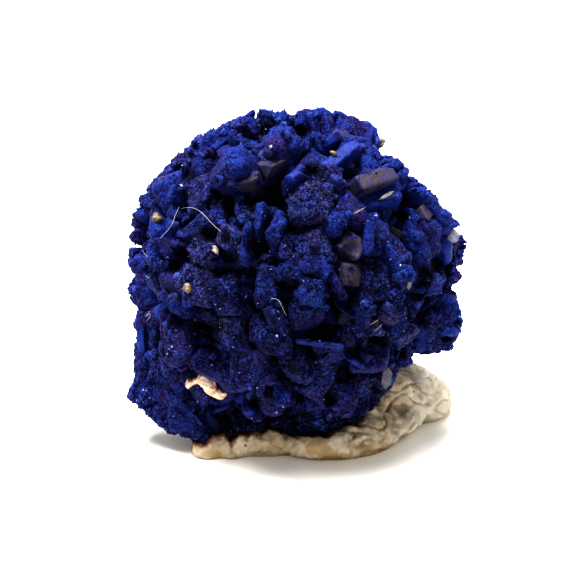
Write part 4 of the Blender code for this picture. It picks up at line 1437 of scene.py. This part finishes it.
class AZURITE_OT_host_rock(bpy.types.Operator):
    """Gives the remnant of host rock its broken surface"""

    bl_idname = "azurite.host_rock"
    bl_label = "Host rock"

    def execute(self, context):
        bm = millimetre_copy("host_rock_remnant")
        middle = sum((vert.co for vert in bm.verts), Vector()) / len(bm.verts)
        bmesh.ops.translate(bm, vec=-middle - swell_way(middle) * ROCK_SUNK, verts=bm.verts)
        bmesh.ops.scale(bm, vec=(ROCK_SHRUNK, ROCK_SHRUNK, ROCK_SHRUNK), verts=bm.verts)
        bmesh.ops.translate(bm, vec=middle, verts=bm.verts)
        shell = ground_shell(*CRUST)
        seats = [seat_on(shell, across, up)[0] for across, up, *_ in HOST_ROCK]
        reach = min((seat - EYE).length for seat in seats)
        for across, up, breadth, length, lean in HOST_ROCK:
            way = sight(across, up)
            made = bmesh.ops.create_icosphere(bm, subdivisions=2, radius=0.5)["verts"]
            bmesh.ops.scale(bm, vec=(breadth, length, ROCK_DEEP), verts=made)
            matrix = laid(-way, lean, EYE + way * (reach + ROCK_BEHIND))
            bmesh.ops.transform(bm, matrix=matrix, verts=made)
        mesh = mesh_from(skinned(bm, ROCK_PITCH))
        co = points_of(mesh)
        heights = [
            0.06 * cell_height(Vector(point), 3.1, Vector((1, 2, 3)))[0]
            + 0.07 * noise.noise(Vector(point) * 2.6)
            + 0.04 * noise.noise(Vector(point) * 9)
            for point in co
        ]
        set_points(mesh, co + normals_of(mesh) * np.array(heights)[:, None])
        shaded(mesh, True)
        finish_piece(
            "host_rock_remnant_dressed", mesh, host_rock(), "host_rock", "host_rock_remnant"
        )
        return {"FINISHED"}


class AZURITE_OT_grains(bpy.types.Operator):
    """Lays the sand grains in the crust"""

    bl_idname = "azurite.grains"
    bl_label = "Sand grains"

    def execute(self, context):
        shell = ground_shell(*CRUST)
        kinds = (
            ("white_grains", "white", sand("white_sand", (0.3, 0.25, 0.23), (0.17, 0.14, 0.13))),
            ("tan_grains", "tan", sand("tan_sand", (0.17, 0.12, 0.07), (0.09, 0.062, 0.04))),
        )
        for name, kind, finish in kinds:
            chance = random.Random(2)
            bm = bmesh.new()
            for across, up, breadth, length, own in SAND_GRAINS:
                if own != kind:
                    continue
                point, _ = seat_on(shell, across, up)
                made = bmesh.ops.create_icosphere(bm, subdivisions=3, radius=0.5)["verts"]
                seed = Vector([chance.uniform(0, 50) for _ in range(3)])
                for vert in made:
                    vert.co *= 1 + 0.6 * noise.noise(vert.co * 2.5 + seed)
                bmesh.ops.scale(bm, vec=(breadth, length, (breadth + length) / 2), verts=made)
                outward = (swell_way(point) + OUT).normalized()
                centre = point + outward * (0.15 * breadth)
                matrix = laid(outward, chance.uniform(0, 180), centre)
                bmesh.ops.transform(bm, matrix=matrix, verts=made)
            mesh = mesh_from(bm)
            shaded(mesh, True)
            finish_piece(name, mesh, finish, "host_rock")
        return {"FINISHED"}


# How far in front of the crust the fibres' places are, so that they lie on its ridges.
FIBRE_CLEAR = 0.5


class AZURITE_OT_fibres(bpy.types.Operator):
    """Lays the dust fibres across the crust"""

    bl_idname = "azurite.fibres"
    bl_label = "Dust fibres"

    def execute(self, context):
        shell = ground_shell(*CRUST)
        curve = bpy.data.curves.new("work", "CURVE")
        curve.dimensions = "3D"
        curve.bevel_depth = sizes().fibre_width / MM / 2
        curve.bevel_resolution = 1
        curve.use_fill_caps = True
        for places in DUST_FIBRES:
            spline = curve.splines.new("NURBS")
            spline.points.add(len(places) - 1)
            spline.use_endpoint_u = True
            spline.order_u = 3
            for knot, (across, up) in zip(spline.points, places):
                point, _ = seat_on(shell, across, up)
                knot.co = (*(point + OUT * FIBRE_CLEAR), 1)
        obj = bpy.data.objects.new("work", curve)
        bpy.context.scene.collection.objects.link(obj)
        mesh = settled(obj)
        bpy.data.curves.remove(curve)
        shaded(mesh, True)
        finish_piece("dust_fibres", mesh, fibre_material(), "host_rock")
        return {"FINISHED"}


# Where the noise that bends the putty's folds is read, for each axis in turn.
FOLD_BENDS = (Vector((31.4, 7.2, 19.8)), Vector((5.3, 43.6, 11.1)), Vector((17.7, 23.9, 3.5)))


def putty_relief(point):
    """The putty's relief in millimetres: thumbed swells, creases between folds and crumbs."""
    bend = Vector([noise.noise(point * 0.8 + shift) for shift in FOLD_BENDS])
    bent = point + 0.5 * bend
    crease = 1 - min(abs(noise.noise(bent * 0.55 + Vector((9, 4, 2)))) / 0.07, 1)
    thin = 1 - min(abs(noise.noise(bent * 1.3 + Vector((1, 6, 3)))) / 0.08, 1)
    crumb = cell_height(bent, 1.6, Vector((4, 4, 1)))[0]
    height = 0.3 * noise.noise(point * 0.6) + 0.1 * noise.noise(point * 2.1) + 0.1 * crumb
    return height - 0.16 * crease - 0.05 * thin + 0.03 * noise.noise(point * 5)


# The lumps kneaded into the putty: centre and radius.
PUTTY_LUMPS = (
    ((3.5, -2.2, 0.4), 1.4),
    ((0.5, -2.6, 0.3), 1.4),
    ((-2.4, -2.2, 0.3), 1.3),
    ((5.6, 1.0, 1.6), 1.8),
    ((-5.1, -3.4, 0.2), 1.1),
    ((-3.8, -3.2, 0.3), 1.2),
)
# The putty's face width, and how many rounds ease its surface and read its creases for painted
# shade.
PUTTY_PITCH = 0.11
PUTTY_EASE = 4
CREASE_SHADE_EASE = 25
# Below this height the putty is flat on the floor, and this near the nodule it takes painted
# contact shadow.
BED_HEIGHT = 0.15
CONTACT_SHADOW_REACH = 0.8


class AZURITE_OT_putty(bpy.types.Operator):
    """Kneads the putty's folds, and flattens it on the floor"""

    bl_idname = "azurite.putty"
    bl_label = "Putty"

    def execute(self, context):
        bm = millimetre_copy("mounting_putty")
        for centre, radius in PUTTY_LUMPS:
            made = bmesh.ops.create_icosphere(bm, subdivisions=3, radius=radius)["verts"]
            bmesh.ops.translate(bm, vec=centre, verts=made)
        mesh = mesh_from(skinned(bm, PUTTY_PITCH))
        co = eased(mesh, points_of(mesh), PUTTY_EASE)
        set_points(mesh, co)
        normals = normals_of(mesh)
        heights = np.array([putty_relief(Vector(point)) for point in co])
        flat = co[:, 2] < BED_HEIGHT
        co = co + normals * (heights * ~flat)[:, None]
        lobe = ((co[:, 0] - 4.5) / 4).clip(0, 1)
        co[:, 2] = np.where(flat, 0.0, co[:, 2].clip(0) * (1 - 0.3 * lobe))
        set_points(mesh, co)
        co = points_of(mesh)
        # Painted shade in creases: how far each point lies sunk below its eased neighbours.
        low = ((eased(mesh, co, CREASE_SHADE_EASE) - co) * normals_of(mesh)).sum(1)
        keep_number(mesh, "painted_shade", low)
        # Painted contact shadow: how near each point lies to the nodule's crust.
        shell = ground_shell(*CRUST)
        near = np.array([shell.find_nearest(Vector(point))[3] or 9 for point in co])
        keep_number(mesh, "stain_and_contact_shadow", (1 - near / CONTACT_SHADOW_REACH).clip(0, 1))
        shaded(mesh, True)
        finish_piece("putty_wad", mesh, putty_material(), "putty", "mounting_putty")
        return {"FINISHED"}


# The key light's place and aim in millimetres, its width in metres and its power in watts, and
# half the floor's width in metres.
KEY_PLACE = Vector((-90, -30, 585))
KEY_AIM = Vector((0, 0, 10))
KEY_WIDTH = 0.4
KEY_POWER = 7.2
WORLD_STRENGTH = 0.63
FLOOR_HALF = 3


def stand(name, data, place, aim):
    """An object in the scene at a place in millimetres, turned to an aim."""
    obj = bpy.data.objects.new(name, data)
    bpy.context.scene.collection.objects.link(obj)
    obj.location = place * MM
    obj.rotation_euler = (aim - place).to_track_quat("-Z", "Y").to_euler()
    return obj


class AZURITE_OT_stage(bpy.types.Operator):
    """Sets the floor, the soft light and the camera"""

    bl_idname = "azurite.stage"
    bl_label = "Stage"

    def execute(self, context):
        scene = context.scene
        bm = bmesh.new()
        bmesh.ops.create_grid(bm, x_segments=1, y_segments=1, size=FLOOR_HALF)
        mesh = mesh_from(bm)
        mesh.materials.append(floor_material())
        floor = bpy.data.objects.new("floor", mesh)
        scene.collection.objects.link(floor)
        floor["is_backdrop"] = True
        world = bpy.data.worlds.new("studio")
        scene.world = world
        world.use_nodes = True
        sky = world.node_tree.nodes["Background"]
        sky.inputs["Color"].default_value = (1, 1, 1, 1)
        sky.inputs["Strength"].default_value = WORLD_STRENGTH
        light = bpy.data.lights.new("key", "AREA")
        light.shape = "DISK"
        light.size = KEY_WIDTH
        light.energy = KEY_POWER
        stand("key", light, KEY_PLACE, KEY_AIM)
        scene.view_settings.view_transform = "Standard"
        scene.view_settings.look = "Very High Contrast"
        camera = bpy.data.cameras.new("camera")
        camera.lens = LENS
        camera.sensor_width = SENSOR
        camera.clip_start = 0.005
        camera.clip_end = 20
        scene.camera = stand("camera", camera, EYE, AIM)
        return {"FINISHED"}


PIECES = (
    AZURITE_OT_crust,
    AZURITE_OT_druse,
    AZURITE_OT_pale_crystals,
    AZURITE_OT_host_rock,
    AZURITE_OT_grains,
    AZURITE_OT_fibres,
    AZURITE_OT_putty,
    AZURITE_OT_stage,
)


class AZURITE_PT_specimen(bpy.types.Panel):
    """Lists the specimen's sizes, colours and pieces"""

    bl_idname = "AZURITE_PT_specimen"
    bl_label = "Azurite specimen"
    bl_space_type = "VIEW_3D"
    bl_region_type = "UI"
    bl_category = "Azurite"

    def draw(self, context):
        for group in (context.scene.specimen_sizes, context.scene.specimen_colours):
            for name in group.bl_rna.properties.keys():
                if name not in ("rna_type", "name"):
                    self.layout.prop(group, name)
        for piece in PIECES:
            self.layout.operator(piece.bl_idname)


CLASSES = (SpecimenSizes, SpecimenColours, *PIECES, AZURITE_PT_specimen)


def register():
    for made in CLASSES:
        bpy.utils.register_class(made)
    bpy.types.Scene.specimen_sizes = bpy.props.PointerProperty(type=SpecimenSizes)
    bpy.types.Scene.specimen_colours = bpy.props.PointerProperty(type=SpecimenColours)


def unregister():
    del bpy.types.Scene.specimen_sizes
    del bpy.types.Scene.specimen_colours
    for made in reversed(CLASSES):
        bpy.utils.unregister_class(made)


def main():
    register()
    bpy.ops.azurite.crust()
    bpy.ops.azurite.druse()
    bpy.ops.azurite.pale_crystals()
    bpy.ops.azurite.host_rock()
    bpy.ops.azurite.grains()
    bpy.ops.azurite.fibres()
    bpy.ops.azurite.putty()
    bpy.ops.azurite.stage()
    boxes = {"cad": CAD_BOX, "visual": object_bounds()}
    plain = {name: [list(corner) for corner in box] for name, box in boxes.items()}


if __name__ == "__main__":
    main()
